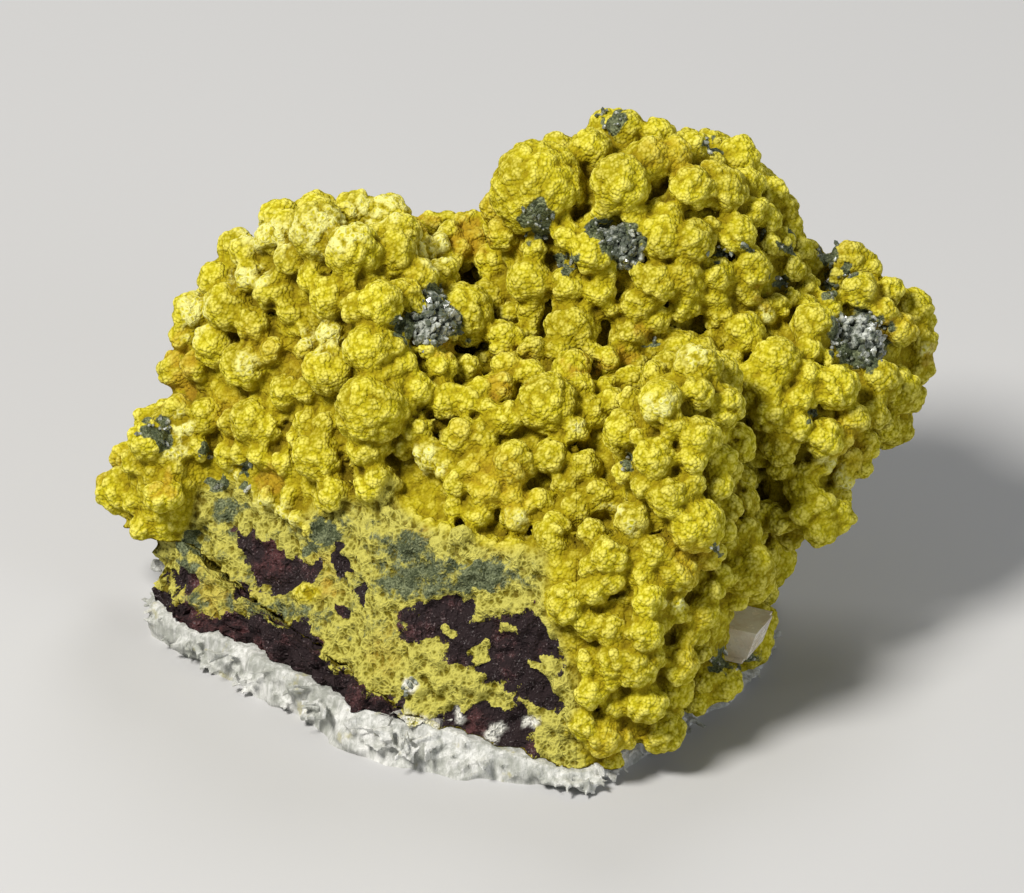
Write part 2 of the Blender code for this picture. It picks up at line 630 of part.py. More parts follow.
def main():
    """Builds the specimen."""
    clear_scene()
    specimen = new_collection("gartrellite_specimen")
    cutters = new_collection("cutters")
    body = make_body(cutters)
    tree = BVHTree.FromObject(body, bpy.context.evaluated_depsgraph_get())
    rock = make_rock(cutters)
    crust = make_crust(body, tree, specimen)
    slab = copy_of(rock, "white_matrix", specimen)
    bed = copy_of(rock, "iron_oxide_layer", specimen)

    trim(crust, make_layer_cutter("above bed", crust_floor, True, cutters), "INTERSECT")
    trim(bed, make_layer_cutter("above slab", bed_floor, True, cutters), "INTERSECT")
    trim(bed, make_layer_cutter("below bed top", bed_top, False, cutters), "INTERSECT")
    trim(slab, make_layer_cutter("below slab top", slab_top, False, cutters), "INTERSECT")

    crystal_pocket = crystal_block("crystal pocket", GAP, cutters)
    for made in (crust, slab):
        trim(made, crystal_pocket, "DIFFERENCE")
    minerals = [crust, bed, slab, make_crystal(specimen)]
    for name, patch in DRUSE_PATCHES.items():
        place = druse_place(tree, patch)
        trim(crust, make_pocket("pocket for " + name, patch, place, cutters), "DIFFERENCE")
        minerals.append(make_druse(name, patch, place, specimen))

    for made in minerals:
        dress(made)
    for helper in cutters.objects:
        helper.hide_render = True
        helper.display_type = "WIRE"


main()
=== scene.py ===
"""Gartrellite on its matrix: the finished look of a hand specimen about 50 mm wide.

The yellow-green crust, the dark bed, the white slab, the pale crystal and the three patches of quartz
druse stand in the places of the solids of the same names. Fields that hold lengths are in millimetres,
or in metres where the class says so.
"""

import json
import logging
import math
import random
from dataclasses import dataclass, field
from enum import Enum
from typing import Any, Callable, NamedTuple, Sequence

import bmesh
import bpy
import numpy as np
from mathutils import Euler, Matrix, Quaternion, Vector, noise
from mathutils.bvhtree import BVHTree
from mathutils.kdtree import KDTree

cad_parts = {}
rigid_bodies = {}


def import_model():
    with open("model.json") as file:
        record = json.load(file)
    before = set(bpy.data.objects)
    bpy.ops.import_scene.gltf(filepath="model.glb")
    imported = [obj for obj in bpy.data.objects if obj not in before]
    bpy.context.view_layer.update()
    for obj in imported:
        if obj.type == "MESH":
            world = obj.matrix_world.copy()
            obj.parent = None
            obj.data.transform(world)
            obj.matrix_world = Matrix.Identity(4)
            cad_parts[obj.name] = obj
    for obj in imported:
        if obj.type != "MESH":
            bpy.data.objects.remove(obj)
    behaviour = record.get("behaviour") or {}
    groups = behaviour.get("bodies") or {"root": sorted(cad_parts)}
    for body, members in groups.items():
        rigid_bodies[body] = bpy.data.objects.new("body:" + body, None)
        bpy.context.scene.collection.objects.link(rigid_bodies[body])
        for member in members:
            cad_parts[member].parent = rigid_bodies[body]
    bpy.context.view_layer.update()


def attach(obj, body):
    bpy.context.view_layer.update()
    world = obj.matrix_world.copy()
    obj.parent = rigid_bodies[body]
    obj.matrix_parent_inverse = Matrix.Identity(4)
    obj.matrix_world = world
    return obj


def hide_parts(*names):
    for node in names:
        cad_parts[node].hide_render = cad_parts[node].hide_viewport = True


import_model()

LOG = logging.getLogger("gartrellite")

MM = 0.001
SEED = 29

Pixel = tuple[float, float]
Point = tuple[float, float, float]
Outline = tuple[Pixel, ...]
Arrays = tuple[np.ndarray, np.ndarray]
Colour = tuple[float, float, float, float]
Value = float | tuple[float, ...]


class Form(NamedTuple):
    """One rounded mass or hollow: its centre and its half-axes."""

    centre: Point
    half_axes: Point


class Spot(NamedTuple):
    """An oval on the photograph: its centre and its two half-widths, in pixels."""

    x: float
    y: float
    half_width: float
    half_height: float


class Lump(NamedTuple):
    """One ball of the crust: its centre in metres and its radius in millimetres."""

    centre: Vector
    radius: float


class Growth(NamedTuple):
    """How lumps are scattered.

    The centre of a new lump stands out of the mass by a share of its radius and by a height, and the lump
    is compared with a crowd of the nearest others.
    """

    radii: tuple[float, float]
    tries: int
    spacing: float
    proud: float
    raised: float
    crowd: int


class Patch(NamedTuple):
    """A patch of druse: where it is seen, its two half-widths and its turn."""

    pixel: Pixel
    half_width: float
    half_height: float
    turn: float


class Side(Enum):
    """Which side of a wavy surface a cutter fills."""

    ABOVE = 1
    BELOW = -1


@dataclass(frozen=True)
class Sight:
    """The parallel lines of sight of the photograph's viewpoint."""

    mm_per_pixel: float = 0.06
    centre: Pixel = (516, 452)
    elevation: float = math.radians(30)
    rise: float = 11.5
    distance: float = 80.0
    cell_pixels: float = 5.0
    least_facing: float = 0.1
    seen_depth: float = 1.2

    @property
    def up(self) -> Vector:
        """The direction that the photograph shows as up."""
        return Vector((0, math.sin(self.elevation), math.cos(self.elevation)))

    @property
    def forward(self) -> Vector:
        """The direction of sight."""
        return Vector((0, math.cos(self.elevation), -math.sin(self.elevation)))

    def start(self, pixel: Pixel) -> Vector:
        """Where the line of sight through a pixel starts, well in front of the specimen.

        Args:
            pixel: x and y on the photograph.

        Returns:
            The place, in metres.
        """
        across = (pixel[0] - self.centre[0]) * self.mm_per_pixel
        rise = (self.centre[1] - pixel[1]) * self.mm_per_pixel + self.rise
        return (Vector((across, 0, 0)) + self.up * rise - self.forward * self.distance) * MM

    def pixels(self, points: np.ndarray) -> np.ndarray:
        """The places on the photograph at which points are seen.

        Args:
            points: (n, 3) positions in millimetres.

        Returns:
            (n, 2) pixel positions.
        """
        across = points[:, 0] / self.mm_per_pixel + self.centre[0]
        rise = points @ np.array(self.up)
        return np.stack((across, self.centre[1] - (rise - self.rise) / self.mm_per_pixel), axis=1)

    def shows(self, points: np.ndarray, normals: np.ndarray) -> np.ndarray:
        """Which vertices the photograph shows.

        Args:
            points: (n, 3) positions in millimetres.
            normals: (n, 3) directions.

        Returns:
            1 where a vertex is seen and 0 where it is hidden.
        """
        cells = np.floor(self.pixels(points) / self.cell_pixels).astype(int)
        cells -= cells.min(axis=0)
        index = cells[:, 0] * (cells[:, 1].max() + 1) + cells[:, 1]
        depths = points @ np.array(self.forward)
        nearest = np.full(index.max() + 1, np.inf)
        np.minimum.at(nearest, index, depths)
        facing = normals @ np.array(self.forward) < self.least_facing
        return (facing & (depths < nearest[index] + self.seen_depth)).astype(np.float32)


SIGHT = Sight()


def scratch_collection() -> bpy.types.Collection:
    """The collection of the shapes that the pieces are cut from."""
    found = bpy.data.collections.get("scratch")
    if found is None:
        found = bpy.data.collections.new("scratch")
        bpy.context.scene.collection.children.link(found)
    return found


def linked(name: str, mesh: bpy.types.Mesh) -> bpy.types.Object:
    """An object of a mesh, in the scratch collection."""
    made = bpy.data.objects.new(name, mesh)
    scratch_collection().objects.link(made)
    return made


def object_from(shape: bmesh.types.BMesh, name: str) -> bpy.types.Object:
    """Turns a bmesh into an object.

    Args:
        shape: the bmesh, which is freed.
        name: the object's name.

    Returns:
        The object, in the scratch collection.
    """
    bmesh.ops.recalc_face_normals(shape, faces=shape.faces)
    mesh = bpy.data.meshes.new(name)
    shape.to_mesh(mesh)
    shape.free()
    return linked(name, mesh)


def bring_out(made: bpy.types.Object) -> None:
    """Moves an object out of every collection and into the scene itself."""
    for collection in made.users_collection:
        collection.objects.unlink(made)
    bpy.context.scene.collection.objects.link(made)


def modify(made: bpy.types.Object, kind: str, **settings: Any) -> None:
    """Puts a modifier on an object and applies it to the mesh.

    Args:
        made: the object.
        kind: the modifier's type.
        settings: its properties.
    """
    modifier = made.modifiers.new(kind, kind)
    for name, value in settings.items():
        setattr(modifier, name, value)
    graph = bpy.context.evaluated_depsgraph_get()
    before = made.data
    made.data = bpy.data.meshes.new_from_object(made.evaluated_get(graph))
    made.modifiers.clear()
    bpy.data.meshes.remove(before)


def fuse(made: bpy.types.Object, voxel: float) -> None:
    """Joins the overlapping bodies of an object into one closed skin of a given fineness."""
    modify(made, "REMESH", mode="VOXEL", voxel_size=voxel * MM)


def trim(
    made: bpy.types.Object, cutter: bpy.types.Object, operation: str, solver: str = "MANIFOLD"
) -> None:
    """Cuts an object with a cutter, or keeps what they share, and takes the cutter away."""
    modify(made, "BOOLEAN", operation=operation, solver=solver, object=cutter)
    bpy.data.objects.remove(cutter, do_unlink=True)


def add_ball(shape: bmesh.types.BMesh, form: Form, subdivisions: int) -> None:
    """Adds a ball, scaled to its half-axes, to a bmesh.

    Args:
        shape: the bmesh.
        form: the ball's centre and half-axes.
        subdivisions: the ball's fineness.
    """
    place = Matrix.Translation(Vector(form.centre) * MM)
    scale = Matrix.Diagonal((*(Vector(form.half_axes) * MM), 1.0))
    bmesh.ops.create_icosphere(shape, subdivisions=subdivisions, radius=1.0, matrix=place @ scale)


def add_hull(shape: bmesh.types.BMesh, corners: Sequence[Point]) -> None:
    """Adds the convex hull of some corners to a bmesh.

    Args:
        shape: the bmesh.
        corners: the corners, in millimetres.
    """
    verts = [shape.verts.new(Vector(corner) * MM) for corner in corners]
    made = bmesh.ops.convex_hull(shape, input=verts)
    inside = [item for item in made["geom_interior"] if isinstance(item, bmesh.types.BMVert)]
    bmesh.ops.delete(shape, geom=inside, context="VERTS")


def box(low: Point, high: Point) -> bpy.types.Object:
    """A box between two corners.

    Args:
        low: its lowest corner, in millimetres.
        high: its highest corner.

    Returns:
        The box, in the scratch collection.
    """
    shape = bmesh.new()
    middle = (Vector(low) + Vector(high)) * 0.5 * MM
    size = Matrix.Diagonal((*((Vector(high) - Vector(low)) * MM), 1.0))
    bmesh.ops.create_cube(shape, size=1.0, matrix=Matrix.Translation(middle) @ size)
    return object_from(shape, "box")


def stacked(parts: Sequence[Arrays]) -> Arrays:
    """Joins several sets of vertices and triangles into one.

    Args:
        parts: the pairs of vertices and triangles.

    Returns:
        The joined pair.
    """
    steps = np.cumsum([0] + [len(points) for points, _ in parts[:-1]])
    triangles = [part[1] + step for part, step in zip(parts, steps)]
    return np.concatenate([part[0] for part in parts]), np.concatenate(triangles)


def ball_arrays(subdivisions: int, centres: np.ndarray, half_axes: np.ndarray) -> Arrays:
    """Many balls, made from copies of one unit ball.

    Args:
        subdivisions: the fineness of the balls.
        centres: (n, 3) centres.
        half_axes: (n, 3) half-axes.

    Returns:
        The vertices and the triangles of them all.
    """
    shape = bmesh.new()
    bmesh.ops.create_icosphere(shape, subdivisions=subdivisions, radius=1.0)
    unit = np.array([vert.co[:] for vert in shape.verts], dtype=np.float32)
    faces = np.array([[vert.index for vert in face.verts] for face in shape.faces])
    shape.free()
    return stacked([(unit * axes + centre, faces) for centre, axes in zip(centres, half_axes)])


def object_from_arrays(name: str, parts: Sequence[Arrays]) -> bpy.types.Object:
    """One object from several sets of vertices and triangles.

    Args:
        name: the object's name.
        parts: pairs of (n, 3) vertices in metres and (m, 3) triangles.

    Returns:
        The object, in the scratch collection.
    """
    points, triangles = stacked(parts)
    mesh = bpy.data.meshes.new(name)
    mesh.from_pydata(points.tolist(), [], triangles.tolist())
    mesh.update(calc_edges=True)
    return linked(name, mesh)


def read(items: Any, name: str, width: int = 3, kind: type = np.float32) -> np.ndarray:
    """A property of each item of a mesh.

    Args:
        items: the mesh's vertices, edges or faces.
        name: the property.
        width: how many values it has.
        kind: their type.

    Returns:
        One row for each item.
    """
    flat = np.empty(width * len(items), dtype=kind)
    items.foreach_get(name, flat)
    return flat.reshape(-1, width)


def arrays_of(made: bpy.types.Object) -> Arrays:
    """The vertices, in metres, and the triangles of an object."""
    made.data.calc_loop_triangles()
    return read(made.data.vertices, "co"), read(made.data.loop_triangles, "vertices", 3, np.int32)


def noise_at(points: np.ndarray, wavelength: float, offset: float = 0.0) -> np.ndarray:
    """Smooth noise between about -1 and 1 at points in millimetres, moved by an offset."""
    moved = (points / wavelength + offset).tolist()
    return np.array([noise.noise(place) for place in moved], dtype=np.float32)


def domes_at(points: np.ndarray, size: float, offset: float = 0.0) -> np.ndarray:
    """Round domes side by side, from 1 at their tops to about -0.3 in the seams.

    Args:
        points: (n, 3) positions in millimetres.
        size: about how wide a dome is.
        offset: moves the domes.

    Returns:
        One value for each point.
    """
    moved = (points / size + offset).tolist()
    away = np.array([noise.voronoi(place)[0][0] for place in moved], dtype=np.float32)
    return 1.0 - 2.0 * away * away


def step_up(values: np.ndarray, low: float, high: float) -> np.ndarray:
    """A smooth step from 0 at the low value to 1 at the high one."""
    share = np.clip((values - low) / (high - low), 0.0, 1.0)
    return share * share * (3.0 - 2.0 * share)


class Skin:
    """The vertices of a mesh as arrays in millimetres, to shape them and to mark them."""

    def __init__(self, made: bpy.types.Object) -> None:
        """Reads a mesh.

        Args:
            made: the object that has it.
        """
        self.mesh = made.data
        self.points = read(self.mesh.vertices, "co") / MM
        self.ends = read(self.mesh.edges, "vertices", 2, np.int32)
        counts = np.bincount(self.ends.ravel(), minlength=len(self.points))
        self.neighbours = counts.astype(np.float32)

    @property
    def normals(self) -> np.ndarray:
        """The outward direction at each vertex."""
        return read(self.mesh.vertices, "normal")

    def store(self) -> None:
        """Writes the vertices back to the mesh."""
        self.mesh.vertices.foreach_set("co", (self.points * MM).astype(np.float32).ravel())
        self.mesh.update()

    def blurred(self, values: np.ndarray, rounds: int) -> np.ndarray:
        """Averages values with those of the neighbouring vertices.

        Args:
            values: one value for each vertex.
            rounds: how often they are averaged.

        Returns:
            The averaged values.
        """
        first, second = self.ends.T
        count = len(self.points)
        for _ in range(rounds):
            near = np.bincount(first, weights=values[second], minlength=count)
            near += np.bincount(second, weights=values[first], minlength=count)
            values = 0.5 * values + 0.5 * near / self.neighbours
        return values

    def height(self, rounds: int) -> np.ndarray:
        """How far each vertex stands out of the skin smoothed in some rounds, below 0 in a hollow."""
        smooth = np.stack([self.blurred(self.points[:, axis], rounds) for axis in range(3)], axis=1)
        return np.sum((self.points - smooth) * self.normals, axis=1)

    def mark(self, name: str, values: np.ndarray) -> None:
        """Stores values between 0 and 1 on the mesh, for its finish to read."""
        layer = self.mesh.attributes.new(name, "FLOAT", "POINT")
        layer.data.foreach_set("value", np.clip(values, 0.0, 1.0).astype(np.float32))


def show(made: bpy.types.Object, finish: bpy.types.Material, slot: str, *nodes: str) -> None:
    """Dresses a piece, puts it on the specimen's body and shows it in place of its solids.

    Args:
        made: the finished piece.
        finish: its material.
        slot: not used.
        nodes: the solids that it stands for.
    """
    bring_out(made)
    made.data.materials.clear()
    made.data.materials.append(finish)
    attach(made, "root")
    if nodes:
        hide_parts(*nodes)
    made.data.calc_loop_triangles()
    LOG.info("%s: %d triangles", made.name, len(made.data.loop_triangles))


@dataclass
class Stone:
    """The stone's mass without its lumps, and where its broken side lies."""

    voxel: float = 0.6
    forms: dict[str, Form] = field(
        default_factory=lambda: {
            "left mound": Form((-11.0, 5.0, 14.0), (9.8, 9.3, 11.4)),
            "low left lobe": Form((-20.8, 5.6, 7.8), (2.5, 4.2, 5.2)),
            "plateau": Form((2.4, 2.0, 10.0), (13.0, 11.0, 9.8)),
            "saddle": Form((-2.5, 10.6, 15.4), (6.0, 4.4, 7.1)),
            "back peak": Form((7.4, 8.8, 18.8), (9.8, 6.2, 10.6)),
            "right shelf": Form((15.4, 5.2, 14.9), (7.1, 7.4, 5.3)),
            "far right lobe": Form((20.2, 9.0, 15.2), (3.8, 3.9, 5.0)),
            "shelf's lower lobe": Form((17.2, -0.2, 10.0), (2.8, 3.0, 2.6)),
            "near ridge": Form((9.2, -6.2, 9.8), (4.4, 6.6, 12.6)),
            "near toe": Form((5.4, -11.0, 6.0), (4.8, 5.4, 8.0)),
        }
    )
    hollows: dict[str, Form] = field(
        default_factory=lambda: {
            "trench beside the mound": Form((-2.4, 4.6, 21.4), (1.5, 6.4, 4.2)),
            "cleft beside the ridge": Form((13.9, -4.6, 13.6), (1.5, 4.6, 7.4)),
            "hollow under the mound": Form((-9.8, -5.4, 14.8), (1.0, 2.6, 1.8)),
            "hollow under the peak": Form((8.8, 3.6, 26.8), (1.1, 2.4, 1.4)),
        }
    )
    foot: Outline = (
        (-21.6, 0.6), (-15.4, -6.4), (-7.6, -14.6), (0.4, -15.6), (4.2, -17.6), (8.0, -12.4),
        (12.6, -6.6), (15.0, -0.8), (13.6, 8.0), (8.0, 14.2), (-2.0, 16.2), (-12.0, 14.4),
        (-20.4, 8.6),
    )
    top: Outline = (
        (-22.0, 4.0), (-12.8, -2.0), (-5.0, -9.0), (1.0, -10.4), (4.6, -12.4), (8.0, -9.6),
        (12.0, -4.4), (14.0, -0.2), (12.6, 7.6), (7.0, 12.8), (-2.0, 14.6), (-11.0, 12.8),
        (-18.4, 8.2),
    )
    top_height: float = 13.0
    foot_height: float = -1.0
    form_fineness: int = 4
    hollow_fineness: int = 3
    break_lean: float = math.radians(22)
    break_feet: tuple[tuple[Pixel, Pixel], ...] = (
        ((-21.6, 0.6), (-7.6, -14.6)),
        ((-7.6, -14.6), (4.2, -17.8)),
    )
    break_left_end: float = -20.6
    break_right_end: float = 4.6
    break_top: float = 14.6
    break_margin: float = 0.9
    lowest_lump: float = 2.6
    crystal_centre: Point = (12.9, -6.3, 4.5)
    crystal_clearance: float = 1.9
    crystal_window: float = 1.5

    def block(self, shape: bmesh.types.BMesh) -> None:
        """Adds the block at the stone's foot to a bmesh."""
        low = [(x, y, self.foot_height) for x, y in self.foot]
        high = [(x, y, self.top_height) for x, y in self.top]
        add_hull(shape, low + high)

    def break_planes(self) -> list[tuple[Vector, Vector]]:
        """A point and the outward direction of each broken face."""
        planes = []
        for (ax, ay), (bx, by) in self.break_feet:
            along = Vector((bx - ax, by - ay, 0)).normalized()
            outward = Vector((along.y, -along.x, 0)) * math.cos(self.break_lean)
            planes.append((Vector((ax, ay, 0)) * MM, outward + Vector((0, 0, math.sin(self.break_lean)))))
        return planes

    def break_depths(self, points: np.ndarray) -> np.ndarray:
        """How far points, in millimetres, lie outside the broken side. It is below 0 in the stone."""
        planes = [(np.array(origin) / MM, np.array(normal)) for origin, normal in self.break_planes()]
        return np.maximum(*[(points - origin) @ normal for origin, normal in planes])

    def make(self) -> bpy.types.Object:
        """Builds the mass, in the scratch collection: the block and the rounded forms, then the break."""
        shape = bmesh.new()
        self.block(shape)
        for form in self.forms.values():
            add_ball(shape, form, self.form_fineness)
        body = object_from(shape, "body")
        fuse(body, self.voxel)
        for name, hollow in self.hollows.items():
            shape = bmesh.new()
            add_ball(shape, hollow, self.hollow_fineness)
            trim(body, object_from(shape, name), "DIFFERENCE", "EXACT")
        shape = bmesh.new()
        shape.from_mesh(body.data)
        for origin, normal in self.break_planes():
            everything = shape.verts[:] + shape.edges[:] + shape.faces[:]
            cut = bmesh.ops.bisect_plane(
                shape, geom=everything, plane_co=origin, plane_no=normal, clear_outer=True
            )
            rim = [item for item in cut["geom_cut"] if isinstance(item, bmesh.types.BMEdge)]
            bmesh.ops.triangle_fill(shape, edges=rim, use_beauty=True, use_dissolve=False)
        add_ball(shape, self.forms["low left lobe"], self.form_fineness)
        shape.to_mesh(body.data)
        shape.free()
        fuse(body, self.voxel)
        return body

    def bare(self, point: Vector) -> bool:
        """Whether no lump grows at a point: low down, by the crystal and on the break.

        Args:
            point: the point, in metres.

        Returns:
            Whether it stays bare.
        """
        place = point / MM
        by_crystal = (place - Vector(self.crystal_centre)).length < self.crystal_clearance
        if place.z < self.lowest_lump or by_crystal:
            return True
        if not (self.break_left_end < place.x < self.break_right_end and place.z < self.break_top):
            return False
        return self.break_depths(np.array([place]))[0] > -self.break_margin


@dataclass
class Lumps:
    """The balls that the crust is made of."""

    # x, y and radius, in pixels, of each lump that was read from the photograph
    seen: tuple[tuple[int, int, int], ...] = (
        # the left mound
        (357, 207, 18), (388, 215, 20), (320, 232, 26), (288, 230, 15), (270, 238, 14), (246, 252, 13),
        (354, 252, 24), (395, 256, 21), (292, 260, 15), (412, 236, 13), (436, 250, 15), (452, 262, 10),
        (218, 280, 17), (252, 278, 15), (275, 292, 18), (315, 280, 15), (290, 311, 13), (232, 307, 23),
        (256, 326, 17), (193, 312, 19), (333, 298, 20), (360, 310, 16), (382, 305, 21), (352, 284, 10),
        (420, 278, 16), (444, 272, 13), (405, 294, 14), (417, 306, 11), (456, 296, 15), (464, 260, 10),
        (214, 346, 19), (198, 366, 14), (183, 336, 14), (178, 370, 18), (248, 365, 22), (275, 352, 13),
        (331, 370, 23), (333, 337, 14), (308, 350, 11), (288, 392, 15), (307, 390, 12), (371, 350, 22),
        (394, 347, 12), (388, 380, 13), (372, 410, 30), (398, 408, 14), (405, 366, 13), (417, 391, 16),
        (428, 349, 9), (441, 368, 14), (467, 369, 13), (450, 333, 8), (448, 400, 18), (468, 402, 16),
        (252, 420, 20), (270, 428, 14), (232, 424, 13), (207, 418, 17), (308, 422, 12), (329, 425, 12),
        (296, 440, 9), (320, 456, 22), (370, 450, 18), (378, 485, 22), (418, 430, 15), (404, 447, 10),
        (430, 455, 14), (446, 466, 12), (463, 437, 17), (482, 433, 12), (488, 447, 10),
        # low on the left
        (118, 490, 21), (126, 545, 18), (134, 462, 12), (148, 440, 18), (142, 530, 12), (165, 495, 16),
        (197, 450, 12), (228, 455, 12), (245, 452, 12), (265, 455, 13), (180, 410, 15), (145, 418, 10),
        (190, 430, 12), (334, 495, 16), (270, 497, 10), (290, 495, 8), (300, 520, 10), (310, 530, 9),
        (285, 512, 8), (284, 462, 12),
        # the valley
        (430, 222, 14), (447, 218, 12), (450, 234, 12), (468, 222, 12), (475, 240, 12), (490, 222, 11),
        (462, 248, 10), (503, 235, 16), (493, 261, 17), (536, 250, 12), (495, 301, 21), (531, 282, 21),
        (532, 310, 13), (510, 313, 10), (482, 340, 14), (505, 340, 17), (532, 350, 13), (530, 328, 10),
        (484, 363, 11), (507, 367, 14), (484, 390, 13), (503, 388, 12), (492, 412, 12), (508, 418, 15),
        (531, 375, 13),
        # the plateau
        (567, 286, 16), (568, 306, 13), (572, 330, 25), (598, 292, 15), (608, 309, 11), (566, 236, 13),
        (592, 253, 20), (604, 272, 12), (572, 368, 17), (578, 387, 16), (548, 405, 26), (573, 430, 15),
        (594, 412, 14), (612, 402, 14), (630, 400, 12), (608, 385, 11), (632, 382, 14), (627, 338, 18),
        (652, 320, 14), (670, 338, 10), (638, 305, 15), (655, 284, 20), (682, 275, 17), (688, 290, 14),
        (684, 308, 14), (716, 276, 16), (714, 296, 13), (744, 290, 14), (718, 315, 15), (742, 335, 20),
        (712, 343, 10), (762, 312, 12), (776, 308, 12), (750, 268, 20), (791, 268, 13), (805, 288, 15),
        (790, 298, 10), (804, 306, 11), (812, 328, 21), (828, 305, 13), (770, 246, 9), (810, 246, 11),
        (735, 235, 18), (712, 228, 10), (752, 212, 14), (660, 238, 21), (690, 242, 21), (665, 215, 16),
        (632, 214, 12), (634, 230, 10), (602, 213, 10), (636, 272, 9), (610, 360, 12), (590, 352, 10),
        (555, 352, 9), (655, 355, 12), (730, 362, 12), (748, 378, 12), (745, 402, 12),
        # the peak
        (538, 190, 40), (534, 150, 14), (557, 152, 16), (574, 143, 9), (590, 152, 18), (620, 185, 26),
        (625, 128, 16), (656, 138, 16), (648, 160, 21), (673, 158, 17), (693, 148, 14), (738, 158, 20),
        (692, 190, 20), (712, 180, 17), (725, 192, 20), (745, 185, 16), (770, 195, 16), (788, 208, 14),
        (768, 220, 13), (788, 225, 12), (755, 175, 10),
        # the right shelf
        (848, 250, 18), (866, 252, 13), (838, 278, 9), (860, 292, 16), (872, 272, 10), (888, 290, 13),
        (913, 310, 18), (900, 330, 15), (925, 340, 14), (926, 365, 13), (882, 312, 13), (775, 362, 21),
        (768, 388, 14), (806, 350, 14), (808, 378, 14), (800, 398, 13), (825, 357, 8), (834, 388, 20),
        (878, 382, 18), (907, 395, 16), (872, 412, 14), (852, 418, 14), (917, 372, 12), (890, 428, 12),
        (865, 445, 13), (858, 464, 13), (770, 415, 17), (797, 428, 13), (822, 438, 18), (838, 440, 12),
        (755, 448, 16), (778, 448, 16), (760, 433, 12), (778, 468, 11), (821, 463, 12), (845, 460, 14),
        (840, 480, 11), (805, 475, 12), (745, 475, 13), (740, 510, 18), (765, 515, 14), (752, 533, 12),
        (795, 490, 11), (806, 490, 12), (818, 505, 14), (836, 515, 15), (818, 528, 15), (800, 515, 12),
        (780, 520, 12), (770, 556, 13), (746, 568, 20), (767, 592, 12), (750, 592, 12), (735, 597, 10),
        # the near ridge
        (688, 364, 27), (718, 395, 18), (695, 395, 15), (660, 405, 21), (672, 425, 13), (622, 432, 19),
        (640, 440, 10), (696, 436, 20), (690, 460, 14), (718, 460, 15), (728, 430, 10), (652, 458, 18),
        (625, 472, 12), (552, 457, 17), (565, 485, 12), (583, 467, 15), (514, 464, 20), (512, 497, 13),
        (516, 518, 15), (538, 502, 13), (475, 470, 15), (460, 482, 15), (488, 488, 18), (478, 514, 13),
        (457, 508, 11), (578, 508, 18), (600, 498, 18), (645, 485, 14), (668, 498, 19), (690, 484, 11),
        (715, 484, 13), (694, 524, 24), (632, 520, 17), (628, 545, 12), (655, 553, 17), (674, 572, 19),
        (640, 572, 12), (706, 552, 15), (720, 575, 12), (722, 530, 10), (610, 555, 18), (590, 565, 12),
        (592, 535, 15), (553, 535, 20), (560, 514, 11), (566, 602, 19), (592, 590, 13), (586, 623, 13),
        (608, 627, 15), (612, 577, 12), (648, 600, 16), (668, 600, 13), (643, 632, 17), (618, 658, 18),
        (635, 668, 17), (612, 675, 12), (654, 655, 10), (590, 660, 14), (675, 662, 20), (675, 688, 17),
        (700, 612, 15), (695, 630, 12), (682, 634, 12), (714, 638, 12), (678, 612, 11), (710, 590, 12),
        (716, 680, 20), (702, 680, 11), (695, 698, 14), (590, 690, 14), (645, 700, 18), (602, 735, 17),
        (625, 735, 11), (583, 722, 15), (610, 757, 11), (700, 652, 9),
    )
    main_least_pixels: int = 13
    proud: float = 0.42
    reach: float = 0.6
    unevenness: float = 0.07
    filling: Growth = Growth((0.85, 1.7), 3000, 0.85, 0.42, 0.0, 1000)
    gaps: Growth = Growth((0.5, 0.9), 4000, 0.85, 0.0, -0.25, 12)
    clear_spacing: float = 1.0
    sight_clearance: float = 1.3
    crystal_reach: float = 1.5
    crystal_cover: float = 0.5
    outline_gaps: tuple[Spot, ...] = (Spot(128, 425, 10, 10), Spot(860, 507, 12, 10))

    def place(self, tree: BVHTree, pixel: Pixel, radius: float) -> Vector:
        """Where a lump sits: on its line of sight, and no further out than it can hold on.

        Args:
            tree: the stone's mass.
            pixel: where the lump is seen.
            radius: its radius.

        Returns:
            Its centre, in metres.
        """
        start, forward = SIGHT.start(pixel), SIGHT.forward
        point, _, _, _ = tree.ray_cast(start, forward)
        if point is not None:
            return point - forward * (self.proud * radius * MM)
        surface, _ = place_on(tree, pixel)
        away = start + forward * (surface - start).dot(forward) - surface
        away.length = min(away.length, self.reach * radius * MM)
        return surface + away

    def clear(self, lump: Lump, others: Sequence[Lump], spacing: float) -> bool:
        """Whether a lump keeps its distance from others.

        Args:
            lump: the lump.
            others: the others.
            spacing: the distance, as a share of both radii.

        Returns:
            Whether all of them are far enough away.
        """
        return all(
            (lump.centre - other.centre).length > spacing * (lump.radius + other.radius) * MM
            for other in others
        )

    def grown(
        self, body: bpy.types.Object, stone: Stone, lumps: list[Lump], way: Growth, chance: random.Random
    ) -> list[Lump]:
        """Scatters lumps wherever there is still room.

        Args:
            body: the stone's mass.
            stone: tells where no lump grows.
            lumps: those that are already there.
            way: how the new ones are scattered.
            chance: the source of random numbers.

        Returns:
            The new lumps.
        """
        triangles = body.data.loop_triangles
        tree = KDTree(len(lumps))
        for index, lump in enumerate(lumps):
            tree.insert(lump.centre, index)
        tree.balance()
        added: list[Lump] = []
        areas = [triangle.area for triangle in triangles]
        for triangle in chance.choices(triangles, weights=areas, k=way.tries):
            point = sum((body.data.vertices[index].co for index in triangle.vertices), Vector()) / 3
            radius = chance.uniform(*way.radii)
            if stone.bare(point):
                continue
            near = [lumps[index] for _, index, _ in tree.find_n(point, way.crowd)]
            if self.clear(Lump(point, radius), near + added, way.spacing):
                out = (way.proud * radius + way.raised) * MM
                added.append(Lump(point + triangle.normal * out, radius))
        return added

